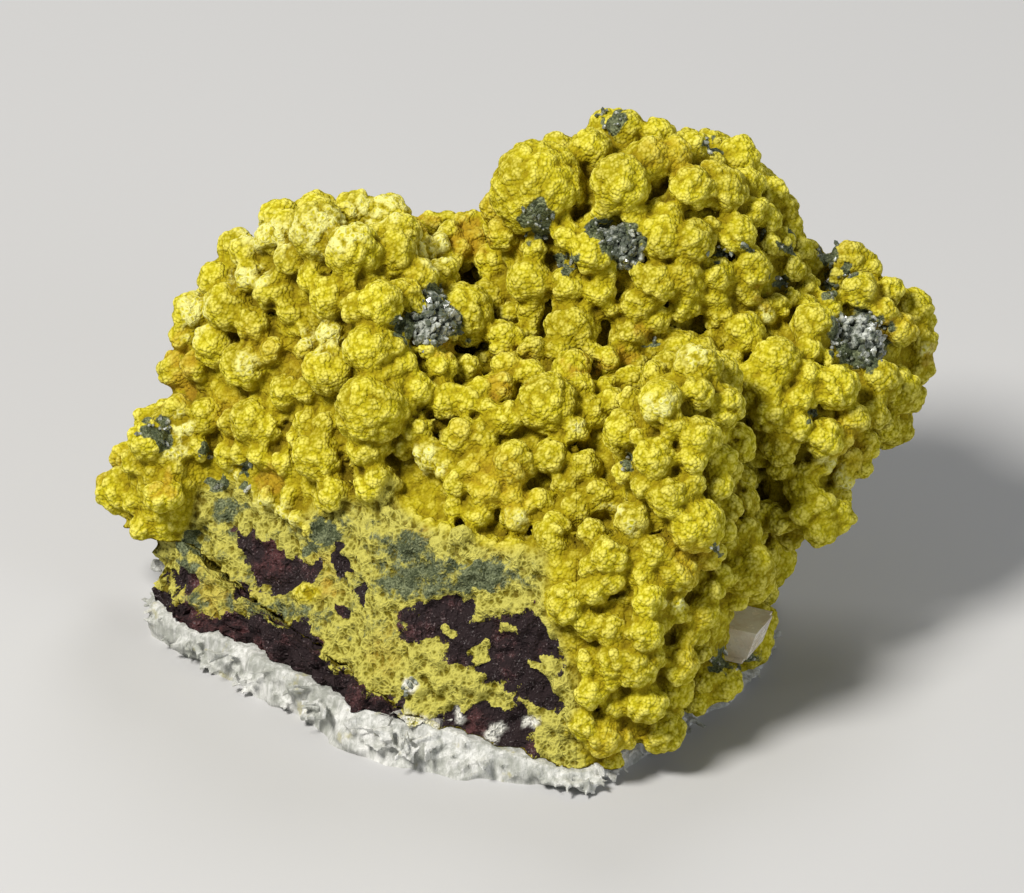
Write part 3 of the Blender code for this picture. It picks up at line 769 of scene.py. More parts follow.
    def make(self, body: bpy.types.Object, stone: Stone, tree: BVHTree) -> list[Lump]:
        """All the lumps of the crust.

        Args:
            body: the stone's mass.
            stone: tells where no lump grows.
            tree: the same mass, for lines of sight.

        Returns:
            The lumps.
        """
        chance = random.Random(SEED)
        body.data.calc_loop_triangles()
        large: list[Lump] = []
        little: list[Lump] = []
        for x, y, pixels in self.seen:
            radius = pixels * SIGHT.mm_per_pixel
            group = large if pixels >= self.main_least_pixels else little
            group.append(Lump(self.place(tree, (x, y), radius), radius))
        filled = self.grown(body, stone, large, self.filling, chance)
        filled = [lump for lump in filled if self.clear(lump, little, self.filling.spacing)]
        main = large + little
        added = filled + self.grown(body, stone, main + filled, self.gaps, chance)
        added = [
            lump for lump in added
            if not self.in_sight(tree, lump) or self.clear(lump, main, self.clear_spacing)
        ]
        pixels = SIGHT.pixels(np.array([lump.centre[:] for lump in added]) / MM)
        strays = within_spots(pixels, self.outline_gaps) >= 0.5
        added = [lump for lump, stray in zip(added, strays) if not stray]
        return [lump for lump in main + added if not self.hides_crystal(lump, stone)]

    def in_sight(self, tree: BVHTree, lump: Lump) -> bool:
        """Whether nothing of the mass stands between a lump and the viewer."""
        start = lump.centre - SIGHT.forward * (self.sight_clearance * lump.radius * MM)
        return tree.ray_cast(start, -SIGHT.forward)[0] is None

    def hides_crystal(self, lump: Lump, stone: Stone) -> bool:
        """Whether a lump stands between the viewer and the crystal.

        Args:
            lump: the lump.
            stone: tells where the crystal is.

        Returns:
            Whether it does.
        """
        offset = lump.centre / MM - Vector(stone.crystal_centre)
        depth = offset.dot(SIGHT.forward)
        aside = (offset - SIGHT.forward * depth).length
        wide = stone.crystal_window + self.crystal_cover * lump.radius
        return depth < self.crystal_reach and aside < wide


def standing(point: Vector, normal: Vector) -> Matrix:
    """A frame at a point, with +Z along a direction."""
    return Matrix.Translation(point) @ normal.to_track_quat("Z", "Y").to_matrix().to_4x4()


def place_on(tree: BVHTree, pixel: Pixel) -> tuple[Vector, Vector]:
    """The point of a surface that is seen at a pixel, or its nearest one to the line of sight.

    Args:
        tree: the surface.
        pixel: x and y on the photograph.

    Returns:
        The point and the surface's direction there.
    """
    start = SIGHT.start(pixel)
    point, normal, _, _ = tree.ray_cast(start, SIGHT.forward)
    if point is not None:
        return point, normal
    steps = [start + SIGHT.forward * (step * MM) for step in range(round(2 * SIGHT.distance))]
    nearest = min(steps, key=lambda step: tree.find_nearest(step)[3])
    point, normal, _, _ = tree.find_nearest(nearest)
    return point, normal


def inside(pixels: np.ndarray, outline: Outline, soft: float = 9.0) -> np.ndarray:
    """Which places lie inside an outline.

    Args:
        pixels: (n, 2) places on the photograph.
        outline: the outline's corners.
        soft: half the width of its soft edge, in pixels.

    Returns:
        Values from 0 outside to 1 inside.
    """
    x, y = pixels.T
    within = np.zeros(len(pixels), dtype=bool)
    away = np.full(len(pixels), np.inf)
    for (ax, ay), (bx, by) in zip(outline, outline[1:] + outline[:1]):
        level = (ay > y) != (by > y)
        within ^= level & (x < (bx - ax) * (y - ay) / ((by - ay) or 1.0) + ax)
        along = ((x - ax) * (bx - ax) + (y - ay) * (by - ay)) / ((bx - ax) ** 2 + (by - ay) ** 2)
        along = np.clip(along, 0.0, 1.0)
        away = np.minimum(away, np.hypot(x - ax - along * (bx - ax), y - ay - along * (by - ay)))
    return step_up(np.where(within, away, -away), -soft, soft)


def within_spots(
    pixels: np.ndarray, spots: Sequence[Spot], end: float = 1.3, soft: float = 0.6
) -> np.ndarray:
    """Which places lie inside any of some ovals.

    Args:
        pixels: (n, 2) places on the photograph.
        spots: the ovals.
        end: where an oval's soft edge ends, as a share of its half-widths.
        soft: how wide that edge is.

    Returns:
        Values from 0 outside to 1 inside.
    """
    mask = np.zeros(len(pixels))
    for x, y, half_width, half_height in spots:
        out = np.hypot((pixels[:, 0] - x) / half_width, (pixels[:, 1] - y) / half_height)
        mask = np.maximum(mask, step_up(end - out, 0.0, soft))
    return mask


@dataclass(frozen=True)
class BreakMarks:
    """What the broken side shows, as read from the photograph."""

    area: Outline = (
        (138, 522), (150, 506), (166, 486), (200, 488), (240, 482), (262, 505), (285, 522), (310, 512),
        (330, 490), (370, 508), (392, 478), (440, 474), (460, 515), (480, 540), (545, 552), (546, 600),
        (560, 640), (580, 696), (578, 742), (592, 800), (560, 860), (100, 860), (100, 560),
    )
    dark_bed: Outline = (
        (120, 560), (150, 582), (176, 600), (205, 616), (250, 614), (310, 624), (324, 640), (326, 664),
        (344, 690), (352, 716), (402, 724), (436, 744), (456, 737), (501, 736), (518, 718), (527, 764),
        (520, 800), (90, 800),
    )
    oxide_patches: tuple[Outline, ...] = (
        ((396, 629), (403, 617), (420, 602), (434, 597), (455, 596), (470, 606), (478, 617), (530, 606),
         (548, 632), (566, 660), (563, 670), (545, 676), (560, 700), (556, 707), (535, 703), (503, 684),
         (465, 664), (438, 646), (412, 641)),
        ((230, 533), (253, 531), (278, 549), (320, 568), (318, 581), (290, 590), (258, 590), (245, 566)),
        ((165, 574), (186, 571), (200, 580), (196, 592), (170, 592)),
        ((330, 660), (346, 668), (372, 688), (404, 704), (402, 718), (380, 724), (350, 718), (330, 694)),
        ((434, 724), (450, 708), (480, 702), (506, 708), (518, 690), (530, 714), (532, 756), (500, 748),
         (470, 740), (440, 732)),
    )
    oxide_spots: tuple[Spot, ...] = (
        Spot(245, 592, 9, 7), Spot(340, 558, 7, 18), Spot(362, 592, 10, 7), Spot(342, 609, 9, 8),
        Spot(176, 615, 10, 9),
    )
    pale_islands: tuple[Spot, ...] = (
        Spot(447, 630, 14, 9), Spot(510, 627, 11, 6), Spot(543, 665, 17, 9), Spot(478, 652, 8, 9),
        Spot(405, 750, 12, 8), Spot(383, 742, 8, 5), Spot(216, 606, 10, 6),
    )
    grey_areas: tuple[tuple[Outline, float], ...] = (
        (((372, 530), (396, 515), (428, 528), (446, 560), (500, 566), (560, 590), (470, 592), (408, 604),
          (376, 592)), 0.72),
        (((150, 520), (232, 490), (330, 505), (400, 500), (470, 545), (545, 556), (545, 600), (440, 612),
          (400, 650), (330, 640), (250, 612), (170, 600)), 0.42),
        (((205, 500), (232, 492), (250, 512), (236, 532), (208, 530)), 0.75),
        (((180, 590), (300, 596), (330, 612), (330, 630), (240, 620), (180, 612)), 0.62),
    )
    grey_spots: tuple[Spot, ...] = (
        Spot(187, 540, 14, 12), Spot(195, 565, 17, 10), Spot(330, 532, 16, 12), Spot(310, 546, 12, 8),
        Spot(485, 571, 18, 12), Spot(486, 586, 9, 7), Spot(272, 650, 14, 7), Spot(460, 560, 10, 8),
    )
    rust_spots: tuple[Spot, ...] = (
        Spot(415, 534, 12, 14), Spot(492, 583, 8, 6), Spot(325, 590, 10, 7), Spot(310, 599, 7, 5),
        Spot(319, 640, 8, 5), Spot(525, 690, 9, 7), Spot(243, 541, 8, 6), Spot(282, 572, 14, 6),
        Spot(165, 489, 12, 9),
    )
    yellow_vug: Spot = Spot(306, 592, 16, 10)
    white_spots: tuple[Spot, ...] = (
        Spot(460, 715, 8, 7), Spot(492, 732, 14, 6), Spot(527, 715, 9, 5), Spot(414, 684, 9, 9),
        Spot(408, 727, 24, 14),
    )
    quartz_spots: tuple[Spot, ...] = (Spot(200, 638, 11, 12), Spot(414, 686, 12, 11))


@dataclass(frozen=True)
class CrustMarks:
    """What the rest of the crust shows, as read from the photograph."""

    quartz_spots: tuple[Spot, ...] = (
        Spot(414, 328, 20, 15), Spot(436, 298, 9, 16), Spot(452, 325, 16, 16), Spot(536, 222, 18, 18),
        Spot(566, 262, 12, 10), Spot(596, 228, 14, 9), Spot(622, 246, 24, 20), Spot(720, 254, 14, 7),
        Spot(746, 250, 6, 5), Spot(762, 235, 6, 5), Spot(786, 246, 8, 6), Spot(780, 282, 9, 8),
        Spot(828, 250, 12, 18), Spot(830, 288, 9, 12), Spot(850, 274, 8, 6), Spot(858, 340, 30, 32),
        Spot(652, 342, 7, 5), Spot(812, 415, 6, 5), Spot(625, 462, 6, 10), Spot(713, 545, 6, 6),
        Spot(205, 455, 8, 6), Spot(218, 486, 10, 6), Spot(247, 467, 6, 5), Spot(245, 486, 6, 5),
        Spot(156, 432, 17, 15), Spot(612, 121, 17, 11), Spot(709, 146, 8, 8), Spot(732, 658, 25, 12),
    )
    rust_spots: tuple[Spot, ...] = (
        Spot(472, 236, 16, 24), Spot(430, 220, 10, 8), Spot(627, 356, 14, 8), Spot(641, 330, 8, 7),
        Spot(600, 370, 14, 8), Spot(572, 366, 12, 8), Spot(503, 386, 16, 9), Spot(445, 349, 12, 8),
        Spot(760, 300, 10, 8), Spot(884, 331, 9, 14), Spot(925, 354, 8, 10), Spot(272, 478, 14, 12),
        Spot(180, 368, 15, 34), Spot(165, 489, 14, 12),
    )
    rubbed_spots: tuple[Spot, ...] = (
        Spot(332, 232, 32, 22), Spot(380, 211, 32, 15), Spot(270, 234, 34, 18), Spot(245, 278, 20, 13),
        Spot(436, 250, 18, 16), Spot(194, 315, 14, 26), Spot(325, 342, 24, 13), Spot(245, 362, 13, 12),
        Spot(174, 452, 14, 12), Spot(690, 355, 15, 10), Spot(655, 408, 13, 11), Spot(573, 428, 9, 7),
        Spot(612, 508, 12, 10), Spot(516, 518, 12, 11), Spot(632, 525, 9, 8), Spot(677, 602, 9, 8),
        Spot(823, 463, 12, 9), Spot(838, 478, 9, 7), Spot(765, 312, 8, 7), Spot(924, 352, 8, 8),
        Spot(233, 470, 7, 12), Spot(262, 516, 30, 22), Spot(183, 428, 8, 16), Spot(428, 460, 15, 13),
    )
    holes: tuple[Spot, ...] = (
        Spot(665, 193, 13, 10), Spot(585, 212, 8, 7), Spot(380, 236, 7, 6), Spot(270, 308, 7, 6),
        Spot(250, 336, 6, 6), Spot(330, 279, 6, 5), Spot(352, 466, 9, 22), Spot(420, 410, 6, 6),
        Spot(440, 438, 6, 6), Spot(480, 320, 7, 8), Spot(283, 426, 7, 6), Spot(610, 590, 6, 6),
        Spot(665, 636, 7, 7), Spot(590, 700, 6, 6), Spot(655, 535, 6, 7), Spot(735, 420, 7, 22),
        Spot(736, 500, 7, 30), Spot(175, 412, 7, 6), Spot(575, 718, 4, 4), Spot(573, 772, 4, 4),
        Spot(302, 592, 8, 6), Spot(176, 616, 7, 6),
    )


class Signal:
    """A socket's value. An expression on signals and numbers adds its Math nodes."""

    def __init__(self, sheet: "NodeSheet", socket: bpy.types.NodeSocket) -> None:
        """Keeps an output socket and the node sheet that it is on."""
        self.sheet = sheet
        self.socket = socket

    def _math(self, operation: str, first: "Signal | float", second: "Signal | float") -> "Signal":
        """A Math node of two values."""
        return self.sheet.node("ShaderNodeMath", {"operation": operation}, {0: first, 1: second})

    def __add__(self, other: "Signal | float") -> "Signal":
        """self + other."""
        return self._math("ADD", self, other)

    def __radd__(self, other: float) -> "Signal":
        """other + self."""
        return self._math("ADD", other, self)

    def __sub__(self, other: "Signal | float") -> "Signal":
        """self - other."""
        return self._math("SUBTRACT", self, other)

    def __rsub__(self, other: float) -> "Signal":
        """other - self."""
        return self._math("SUBTRACT", other, self)

    def __mul__(self, other: "Signal | float") -> "Signal":
        """self * other."""
        return self._math("MULTIPLY", self, other)

    def __rmul__(self, other: float) -> "Signal":
        """other * self."""
        return self._math("MULTIPLY", other, self)

    def step(self, low: float, high: float) -> "Signal":
        """A smooth step from 0 at the low value to 1 at the high one."""
        settings = {"interpolation_type": "SMOOTHSTEP"}
        inputs = {"Value": self, "From Min": low, "From Max": high}
        return self.sheet.node("ShaderNodeMapRange", settings, inputs)


class NodeSheet:
    """The nodes of one material."""

    def __init__(self, name: str) -> None:
        """Starts a material.

        Args:
            name: the material's name.
        """
        self.material = bpy.data.materials.new(name)
        self.material.use_nodes = True
        self.tree = self.material.node_tree
        self.shader = self.tree.nodes["Principled BSDF"]

    def put(self, socket: bpy.types.NodeSocket, value: "Signal | Value") -> None:
        """Links a signal to a socket, or sets the socket's number or colour.

        Args:
            socket: an input socket.
            value: the signal, number or colour.
        """
        if isinstance(value, Signal):
            self.tree.links.new(value.socket, socket)
        else:
            socket.default_value = value

    def node(
        self,
        kind: str,
        settings: dict[str, Any] | None = None,
        inputs: "dict[str | int, Signal | Value] | None" = None,
        output: str | int = 0,
    ) -> Signal:
        """Adds a node.

        Args:
            kind: the node's type.
            settings: its properties, which are set first.
            inputs: the values or links of its sockets.
            output: which of its outputs to return.

        Returns:
            The output as a signal.
        """
        made = self.tree.nodes.new(kind)
        for name, value in (settings or {}).items():
            setattr(made, name, value)
        for name, value in (inputs or {}).items():
            self.put(made.inputs[name], value)
        return Signal(self, made.outputs[output])

    def place(self) -> Signal:
        """The position on the object, in metres."""
        return self.node("ShaderNodeTexCoord", output="Object")

    def mark(self, name: str) -> Signal:
        """A marking that is stored on the mesh."""
        return self.node("ShaderNodeAttribute", {"attribute_name": name}, output="Fac")

    def noise(
        self, size: float, detail: float = 3.0, rough: float = 0.55, place: Signal | None = None
    ) -> Signal:
        """Smooth noise between 0 and 1.

        Args:
            size: the size of its waves, in millimetres.
            detail: how many finer waves are added.
            rough: how strong those are.
            place: where it is read.

        Returns:
            The noise.
        """
        scale = 1.0 / (size * MM)
        inputs = {"Vector": place or self.place(), "Scale": scale, "Detail": detail, "Roughness": rough}
        return self.node("ShaderNodeTexNoise", None, inputs)

    def cells(self, size: float, feature: str = "F1", output: str = "Distance") -> Signal:
        """A pattern of cells of about one size, in millimetres."""
        inputs = {"Vector": self.place(), "Scale": 1.0 / (size * MM)}
        return self.node("ShaderNodeTexVoronoi", {"feature": feature}, inputs, output)

    def mix(self, share: "Signal | float", first: "Signal | Value", second: "Signal | Value") -> Signal:
        """Blends two colours: all of the first at a share of 0, and of the second at 1."""
        inputs = {"Factor": share, 6: first, 7: second}
        return self.node("ShaderNodeMix", {"data_type": "RGBA"}, inputs, output=2)

    def bump(
        self, height: Signal, depth: float, strength: float = 1.0, under: Signal | None = None
    ) -> Signal:
        """A relief too fine to model.

        Args:
            height: its height, from 0 to 1.
            depth: the height at 1, in millimetres.
            strength: how much of it is used.
            under: a coarser relief that it lies on.

        Returns:
            The surface's direction.
        """
        inputs = {"Height": height, "Distance": depth * MM, "Strength": strength}
        if under is not None:
            inputs["Normal"] = under
        return self.node("ShaderNodeBump", None, inputs)

    def finish(self, **inputs: "Signal | Value") -> bpy.types.Material:
        """Feeds the shader, whose sockets are named with _ for a space, and returns the material."""
        for name, value in inputs.items():
            self.put(self.shader.inputs[name.replace("_", " ")], value)
        return self.material


@dataclass(frozen=True)
class CrustFinish:
    """Gartrellite: matt, grainy and yellow-green, with painted highlights on its raised tops and painted
    shade that darkens and browns its seams and crevices.
    """

    name: str = "gartrellite"
    lemon: Colour = (0.57, 0.505, 0.012, 1.0)
    olive: Colour = (0.38, 0.325, 0.006, 1.0)
    tip_highlight: Colour = (0.88, 0.80, 0.17, 1.0)
    seam_shade: Colour = (0.26, 0.19, 0.005, 1.0)
    crevice_shade: Colour = (0.105, 0.072, 0.003, 1.0)
    rust: Colour = (0.42, 0.25, 0.018, 1.0)
    rubbed: Colour = (0.76, 0.73, 0.25, 1.0)
    broken_pale: Colour = (0.52, 0.48, 0.10, 1.0)
    broken_deep: Colour = (0.17, 0.145, 0.010, 1.0)
    quartz: Colour = (0.055, 0.068, 0.032, 1.0)
    quartz_light: Colour = (0.22, 0.245, 0.13, 1.0)
    oxide: Colour = (0.024, 0.016, 0.017, 1.0)
    oxide_red: Colour = (0.098, 0.038, 0.038, 1.0)
    oxide_glint: Colour = (0.20, 0.18, 0.18, 1.0)
    white: Colour = (0.76, 0.75, 0.68, 1.0)
    grain_size: float = 0.21
    grain_depth: float = 0.085
    fine_size: float = 0.12
    fine_depth: float = 0.03
    speckle_size: float = 0.7
    patch_size: float = 3.4
    thread_size: float = 0.30
    vein_size: float = 1.1
    roughness: float = 0.85
    quartz_gloss: float = 0.45

    def make(self) -> bpy.types.Material:
        """Builds the material."""
        sheet = NodeSheet(self.name)
        away = sheet.cells(self.grain_size)
        grains = 1 - away * away * 1.5
        fine = sheet.noise(self.fine_size, 2.0)
        patches = sheet.noise(self.patch_size, 3.0)
        speckle = sheet.noise(self.speckle_size, 3.0, 0.65)
        rise = sheet.mark("rise")
        depth = sheet.mark("depth")
        body = sheet.mix((patches + (speckle - 0.5) * 0.5).step(0.36, 0.62), self.olive, self.lemon)
        # Painted highlight: raised places and the tops of the grains are lightened towards a pale yellow.
        body = sheet.mix((grains * 0.4 + rise).step(0.62, 1.4) * 0.8, body, self.tip_highlight)
        # Painted shade: the edges between the grains are darkened towards olive.
        body = sheet.mix((1 - grains.step(-0.1, 0.6)) * 0.35, body, self.olive)
        # Painted shade: low places between the nodules, broad hollows and deep crevices are darkened
        # towards a dark brown.
        body = sheet.mix((1 - rise.step(0.15, 0.6)) * 0.6, body, self.seam_shade)
        body = sheet.mix((1 - depth.step(0.3, 0.8)) * 0.55, body, self.seam_shade)
        body = sheet.mix((1 - depth.step(0.05, 0.45)) * 0.85, body, self.crevice_shade)
        stain = sheet.mark("rust") * (speckle + 0.3 - rise * 0.35).step(0.3, 0.65)
        body = sheet.mix(stain * 0.6, body, self.rust)
        seams = sheet.cells(self.thread_size, "DISTANCE_TO_EDGE")
        threads = (1 - seams * 3.0) * 0.5 + speckle * 0.5
        worn = sheet.mark("rubbed") * (speckle * 0.7 + rise * 0.3).step(0.40, 0.60)
        body = sheet.mix(worn, body, sheet.mix(threads.step(0.2, 0.6), self.lemon, self.rubbed))

        # The lace is the break's own pale threads and dark patches, with painted shade as well: its rise
        # term keeps low places dark.
        lace = (rise * 0.6 + threads * 0.7 + (speckle - 0.5) * 0.9).step(0.30, 0.85)
        broken = sheet.mix(lace, self.broken_deep, self.broken_pale)
        # Painted shade: the hollows of the broken side are darkened.
        broken = sheet.mix((1 - rise.step(0.05, 0.35)) * 0.6, broken, self.crevice_shade)
        broken = sheet.mix(sheet.mark("rust") * speckle.step(0.35, 0.6) * 0.6, broken, self.rust)
        colour = sheet.mix(sheet.mark("broken"), body, broken)
        grey = sheet.mix((fine * 0.6 + speckle * 0.5).step(0.45, 0.72), self.quartz, self.quartz_light)
        veins = (sheet.noise(self.vein_size, 5.0, 0.75) + sheet.mark("quartz") * 0.55).step(0.74, 0.92)
        colour = sheet.mix(sheet.mark("quartz").step(0.0, 0.3) * veins, colour, grey)
        reddish = patches * 0.8 + speckle * 0.5 + fine * 0.3
        earth = sheet.mix(reddish.step(0.79, 1.01), self.oxide, self.oxide_red)
        # Painted glints: small light flecks on the dark oxide stand in for the sparkle of its grains.
        earth = sheet.mix((fine * 0.7 + speckle * 0.4).step(0.62, 0.76) * 0.7, earth, self.oxide_glint)
        ragged = sheet.mark("oxide") + (speckle - 0.5) * 1.5 + (fine - 0.5) * 0.5
        colour = sheet.mix(ragged.step(0.42, 0.56), colour, earth)
        white = sheet.mark("white") * (speckle + fine * 0.4).step(0.45, 0.75)
        colour = sheet.mix(white, colour, self.white)

        share = sheet.mark("broken") + worn * (1 - sheet.mark("broken")) * 0.8
        relief = sheet.bump(grains * (1 - share) + threads * share * 1.6, self.grain_depth)
        relief = sheet.bump(fine, self.fine_depth, 0.8, relief)
        return sheet.finish(
            Base_Color=colour,
            Roughness=self.roughness - sheet.mark("quartz") * self.quartz_gloss,
            Normal=relief,
            Specular_IOR_Level=0.1,
        )


@dataclass(frozen=True)
class MatrixFinish:
    """The white matrix: crystalline and fibrous, a little stained where it meets the crust."""

    name: str = "white_matrix"
    white: Colour = (0.74, 0.74, 0.71, 1.0)
    shade: Colour = (0.34, 0.35, 0.31, 1.0)
    stain: Colour = (0.40, 0.36, 0.13, 1.0)
    fibre_size: float = 0.35
    fibre_stretch: Point = (1.0, 1.0, 0.25)
    fibre_depth: float = 0.14
    facet_size: float = 0.5
    facet_depth: float = 0.06
    cloud_size: float = 2.6
    stain_size: float = 1.5

    def make(self) -> bpy.types.Material:
        """Builds the material."""
        sheet = NodeSheet(self.name)
        inputs = {"Vector": sheet.place(), "Scale": self.fibre_stretch}
        stretched = sheet.node("ShaderNodeMapping", {"vector_type": "POINT"}, inputs)
        fibres = sheet.noise(self.fibre_size, 4.0, 0.7, stretched)
        clouds = sheet.noise(self.cloud_size, 3.0)
        facets = sheet.cells(self.facet_size, "F1", "Color")
        tone = sheet.node("ShaderNodeSeparateColor", None, {"Color": facets}, "Red")
        colour = sheet.mix((clouds * 0.6 + fibres * 0.6).step(0.48, 0.78), self.shade, self.white)
        stained = sheet.noise(self.stain_size, 4.0, 0.65).step(0.60, 0.72)
        colour = sheet.mix(stained * 0.55, colour, self.stain)
        relief = sheet.bump(fibres, self.fibre_depth)
        relief = sheet.bump(tone, self.facet_depth, 0.7, relief)
        return sheet.finish(Base_Color=colour, Roughness=0.30 + tone * 0.35, Normal=relief)


@dataclass(frozen=True)
class CrystalFinish:
    """The cream cleavage crystal: cloudy, with fine cleavage lines."""

    name: str = "calcite"
    cream: Colour = (0.93, 0.87, 0.77, 1.0)
    cloud: Colour = (0.80, 0.70, 0.58, 1.0)
    cloud_size: float = 1.2
    line_scale: float = 900.0
    line_depth: float = 0.03

    def make(self) -> bpy.types.Material:
        """Builds the material."""
        sheet = NodeSheet(self.name)
        lines = sheet.node(
            "ShaderNodeTexWave",
            {"wave_type": "BANDS", "bands_direction": "Z"},
            {"Vector": sheet.place(), "Scale": self.line_scale, "Distortion": 3.0, "Detail": 2.0},
            "Fac",
        )
        clouds = sheet.noise(self.cloud_size, 4.0, 0.6).step(0.45, 0.62)
        return sheet.finish(
            Base_Color=sheet.mix(clouds, self.cream, self.cloud),
            Roughness=0.16 + sheet.noise(0.6) * 0.2,
            Normal=sheet.bump(lines, self.line_depth, 0.6),
            Transmission_Weight=0.08,
            IOR=1.6,
        )


@dataclass(frozen=True)
class QuartzFinish:
    """Grey quartz: small bright points with glassy faces."""

    name: str = "quartz"
    grey: Colour = (0.09, 0.105, 0.075, 1.0)
    clear: Colour = (0.50, 0.52, 0.46, 1.0)
    cloud_size: float = 0.8
    scratch_size: float = 0.25
    scratch_depth: float = 0.012

    def make(self) -> bpy.types.Material:
        """Builds the material."""
        sheet = NodeSheet(self.name)
        tone = sheet.noise(self.cloud_size, 4.0, 0.7).step(0.44, 0.62)
        return sheet.finish(
            Base_Color=sheet.mix(tone, self.grey, self.clear),
            Roughness=0.10 + sheet.noise(1.1) * 0.15,
            Normal=sheet.bump(sheet.noise(self.scratch_size), self.scratch_depth, 0.5),
            IOR=1.54,
            Coat_Weight=0.6,
            Coat_Roughness=0.05,
        )


@dataclass(frozen=True)
class FloorFinish:
    """The plain pale floor."""

    name: str = "floor"
    pale: Colour = (0.50, 0.50, 0.50, 1.0)

    def make(self) -> bpy.types.Material:
        """Builds the material."""
        sheet = NodeSheet(self.name)
        return sheet.finish(Base_Color=self.pale, Roughness=0.7)


@dataclass
class Layers:
    """The wavy surfaces between the slab, the bed and the crust."""

    crack: float = 0.03
    slab_top_left: float = 2.3
    slab_top_right: float = 1.4
    slab_thin_from: float = -10.0
    slab_thin_to: float = 6.0
    slab_wave: float = 0.8
    bed_left_end: float = -21.0
    bed_top_left: float = 6.0
    bed_fall: float = 0.215
    bed_wave: float = 0.5
    bed_least: float = 0.5
    bed_wave_offset: float = 7.0
    wavelength: float = 9.0
    ragged: float = 0.3
    ragged_offset: float = 3.0
    ragged_wavelength: float = 1.6
    span: float = 62.0
    grid_step: float = 0.7
    headroom: float = 60.0

    @property
    def far(self) -> float:
        """A distance from the middle that is well outside the stone."""
        return 0.5 * self.span

    def wave(self, x: float, y: float, offset: float) -> float:
        """The broad waves that the layers share."""
        return noise.noise(Vector((x / self.wavelength, y / self.wavelength, offset)))

    def slab_top(self, x: float, y: float) -> float:
        """Height of the slab's upper side.

        Args:
            x: a place's x, in millimetres.
            y: its y.

        Returns:
            The height, in millimetres.
        """
        share = (self.slab_thin_to - x) / (self.slab_thin_to - self.slab_thin_from)
        left = max(0.0, min(1.0, share))
        height = self.slab_top_right + (self.slab_top_left - self.slab_top_right) * left
        return height + self.slab_wave * self.wave(x, y, 0.0)

    def bed_top(self, x: float, y: float) -> float:
        """Height of the bed's upper side, which falls below the slab's on the right."""
        fall = self.bed_fall * max(0.0, x - self.bed_left_end)
        wave = self.bed_wave * self.wave(x, y, self.bed_wave_offset)
        return max(self.bed_least, self.bed_top_left - fall + wave)

    def bed_floor(self, x: float, y: float) -> float:
        """Height at which the bed starts."""
        return self.slab_top(x, y) + self.crack

    def crust_floor(self, x: float, y: float) -> float:
        """Height at which the crust starts."""
        return max(self.slab_top(x, y), self.bed_top(x, y)) + self.crack

    def cutter(self, name: str, height: Callable[[float, float], float], side: Side) -> bpy.types.Object:
        """A closed solid above or below a wavy surface, which is ragged where it shows.

        Args:
            name: the cutter's name.
            height: the surface.
            side: which side of it to fill.

        Returns:
            The cutter.
        """
        steps = round(self.span / self.grid_step)
        shape = bmesh.new()
        bmesh.ops.create_grid(shape, x_segments=steps, y_segments=steps, size=self.far * MM)
        length = self.ragged_wavelength
        for vert in shape.verts:
            x, y = vert.co.x / MM, vert.co.y / MM
            place = Vector((x / length, y / length, self.ragged_offset))
            vert.co.z = (height(x, y) + self.ragged * noise.fractal(place, 1.0, 2.0, 2)) * MM
        walls = bmesh.ops.extrude_face_region(shape, geom=shape.faces[:])
        for item in walls["geom"]:
            if isinstance(item, bmesh.types.BMVert):
                item.co.z = self.headroom * MM * side.value
        return object_from(shape, name)


